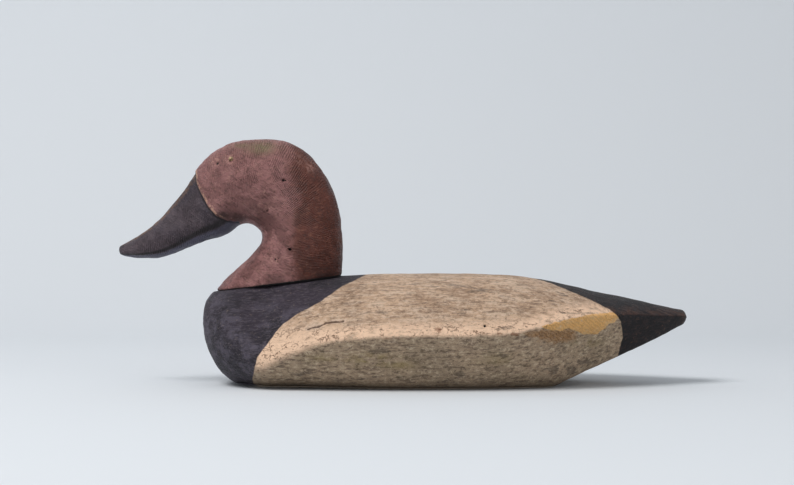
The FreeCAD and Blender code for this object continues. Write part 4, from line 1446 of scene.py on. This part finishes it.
@dataclass
class Studio:
    """A pale paper sweep, soft light from the upper left front, and a camera side on."""

    camera_from: tuple[float, float, float] = (-0.0041, -1.2, 0.0953)
    view_width: float = 0.540
    paper: Tone = (222, 226, 230)
    paper_shade: Tone = (214, 219, 224)
    paper_cloud: Pattern = Pattern(1.6, 3.0)
    room: Tone = (208, 213, 218)
    room_strength: float = 0.38
    room_tint: tuple[float, float, float, float] = (0.97, 0.98, 1.0, 1.0)
    floor_gap: float = 0.0002
    covered: tuple[tuple[float, float], float] = ((-97.0, 96.0), 32.0)
    aim: tuple[float, float, float] = (0, 0, 0.07)
    lamps: tuple[Lamp, ...] = (
        Lamp("key_lamp", (-1.0, -0.9, 1.9), 1.0, 34.0), Lamp("fill_lamp", (1.4, -1.8, 0.9), 1.6, 6.0))

    def sweep(self) -> bpy.types.Object:
        """The floor and wall: a flat floor that curves up as a quarter circle behind.

        Returns:
            The sweep, without a material.
        """
        radius, back, front, side, top = 0.5, 0.55, -2.5, 4.0, 3.0
        arc = np.linspace(0, math.pi / 2, 24)
        y = np.concatenate([[front], back + radius * np.sin(arc), [back + radius]])
        z = np.concatenate([[0.0], radius * (1 - np.cos(arc)), [top]]) - self.floor_gap
        points = np.array([(x, a, b) for x in (-side, side) for a, b in zip(y, z)])
        count = len(y)
        faces = [(k, k + count, k + count + 1, k + 1) for k in range(count - 1)]
        mesh = bpy.data.meshes.new("paper_sweep")
        mesh.from_pydata(points.tolist(), [], faces)
        mesh.shade_smooth()
        floor = bpy.data.objects.new("paper_sweep", mesh)
        bpy.context.collection.objects.link(floor)
        return floor

    def paper_finish(self) -> bpy.types.Material:
        """Pale paper that is clear from below and from behind, so the decoy shows from every side.

        Where the decoy's flat underside covers it, it also lets light through to the two
        recesses, but isn't open to the camera from above.

        Returns:
            The paper's finish.
        """
        g = Graph("pale_paper")
        shade = g.both(g.pattern(self.paper_cloud), 0.25)
        tone = g.mix(shade, colour(*self.paper), colour(*self.paper_shade))
        finish = g.finish(tone, 0.9)
        behind = g.add("ShaderNodeNewGeometry").outputs["Backfacing"]
        ray = g.add("ShaderNodeLightPath").outputs
        touching = g.math("LESS_THAN", ray["Ray Length"], 5 * self.floor_gap)
        clear = g.add("ShaderNodeBsdfTransparent").outputs[0]
        spot = g.add("ShaderNodeSeparateXYZ", inputs={0: g.place()}).outputs
        (start, end), side = self.covered
        along = g.math("COMPARE", spot["X"], (start + end) / 2 * MM, (end - start) / 2 * MM)
        under = g.both(along, g.math("COMPARE", spot["Y"], 0.0, side * MM))
        bounced = g.both(g.math("MAXIMUM", touching, under), g.math("SUBTRACT", 1.0, ray["Is Camera Ray"]))
        open_floor = g.math("MAXIMUM", behind, bounced)
        seen = g.add("ShaderNodeMixShader", inputs={0: open_floor, 1: g.shader.outputs[0], 2: clear})
        g.tree.links.new(seen.outputs[0], g.tree.nodes["Material Output"].inputs["Surface"])
        return finish

    def light(self, lamp: Lamp) -> None:
        """Hangs one lamp so that it faces the decoy.

        Args:
            lamp: which lamp.
        """
        data = bpy.data.lights.new(lamp.name, "AREA")
        data.size = lamp.size
        data.energy = lamp.power
        hung = bpy.data.objects.new(lamp.name, data)
        hung.location = lamp.place
        hung.rotation_euler = (Vector(self.aim) - Vector(lamp.place)).to_track_quat("-Z", "Y").to_euler()
        bpy.context.collection.objects.link(hung)

    def room_light(self) -> None:
        """Even light from all round, which the camera and reflections see as pale."""
        world = bpy.data.worlds.new("soft_room")
        world.use_nodes = True
        tree = world.node_tree
        plain = tree.nodes["Background"]
        plain.inputs[0].default_value = self.room_tint
        plain.inputs[1].default_value = self.room_strength
        pale = tree.nodes.new("ShaderNodeBackground")
        pale.inputs[0].default_value = colour(*self.room)
        ray = tree.nodes.new("ShaderNodeLightPath")
        seen = ray.outputs["Is Camera Ray"]
        for name in ("Is Glossy Ray", "Is Transmission Ray"):
            either = tree.nodes.new("ShaderNodeMath")
            either.operation = "MAXIMUM"
            tree.links.new(seen, either.inputs[0])
            tree.links.new(ray.outputs[name], either.inputs[1])
            seen = either.outputs[0]
        blend = tree.nodes.new("ShaderNodeMixShader")
        tree.links.new(seen, blend.inputs[0])
        tree.links.new(plain.outputs[0], blend.inputs[1])
        tree.links.new(pale.outputs[0], blend.inputs[2])
        tree.links.new(blend.outputs[0], tree.nodes["World Output"].inputs["Surface"])
        bpy.context.scene.world = world

    def build(self) -> None:
        """Sets up the sweep, the lamps, the world and the camera."""
        floor = self.sweep()
        dress(floor, self.paper_finish())
        for lamp in self.lamps:
            self.light(lamp)
        self.room_light()
        data = bpy.data.cameras.new("camera")
        data.sensor_width = 36.0
        data.lens = data.sensor_width * -self.camera_from[1] / self.view_width
        camera = bpy.data.objects.new("camera", data)
        camera.location = self.camera_from
        camera.rotation_euler = (math.pi / 2, 0, 0)
        bpy.context.collection.objects.link(camera)
        bpy.context.scene.camera = camera
        bpy.context.scene.view_settings.view_transform = "Standard"


# ---------------------------------------------------------------- assembly

def span(node: str, axis: int) -> tuple[float, float]:
    """A node's lowest and highest place along one axis.

    Args:
        node: the frame's node.
        axis: 0, 1 or 2 for X, Y or Z.

    Returns:
        The two places, in millimetres.
    """
    low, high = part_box(node)
    return low[axis] / MM, high[axis] / MM


def underside_pockets() -> tuple[Pocket, ...]:
    """The line tie's recess and the ballast weight's bed, each from the pieces that it holds.

    Returns:
        The recess and the bed.
    """
    fore, aft, beside, above, bed = 2.7, 4.0, 2.7, 3.3, 0.25
    ring_side = span("line_tie_ring", 1)[1] + beside
    tie = Pocket((span("line_tie_staple", 0)[0] - fore, -ring_side),
                 (span("line_tie_ring", 0)[1] + aft, ring_side), span("line_tie_ring", 2)[1] + above)
    (start, end), (left, right) = span("ballast_weight", 0), span("ballast_weight", 1)
    weight_bed = Pocket((start - bed, left - bed), (end + bed, right + bed),
                        span("ballast_weight", 2)[1], (right - left) / 2 + bed)
    return tie, weight_bed


def main() -> None:
    """Builds the studio, carves and paints the wood, and dresses the small parts."""
    logging.basicConfig(level=logging.INFO, format="%(message)s")
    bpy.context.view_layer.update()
    Studio().build()

    breast_x, tail_x = span("body_top", 0)
    half_width = max(span("body_bottom", 1)[1], span("body_top", 1)[1])
    seam, height = span("body_top", 2)
    seat_z, seat_x = span("head", 2)[0], breast_x + SEAT_SETBACK
    body = Body(breast_x, tail_x - breast_x, 2 * half_width, height, seam, seat_x, seat_z,
                underside_pockets())
    paint = BodyPaint().material()
    for half in Half:
        dress(body.build(half), paint)

    head = Head(span("head", 0)[0], seat_z)
    dress(head.build(), HeadPaint().material())

    finishes = {metal.name: metal.material() for metal in METALS} | {"bare_wood": BareWood().material()}
    for node, finish in SMALL_PARTS.items():
        dress(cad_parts[node], finishes[finish])
        LOG.info("%s: %s", node, finish)


if __name__ == "__main__":
    main()
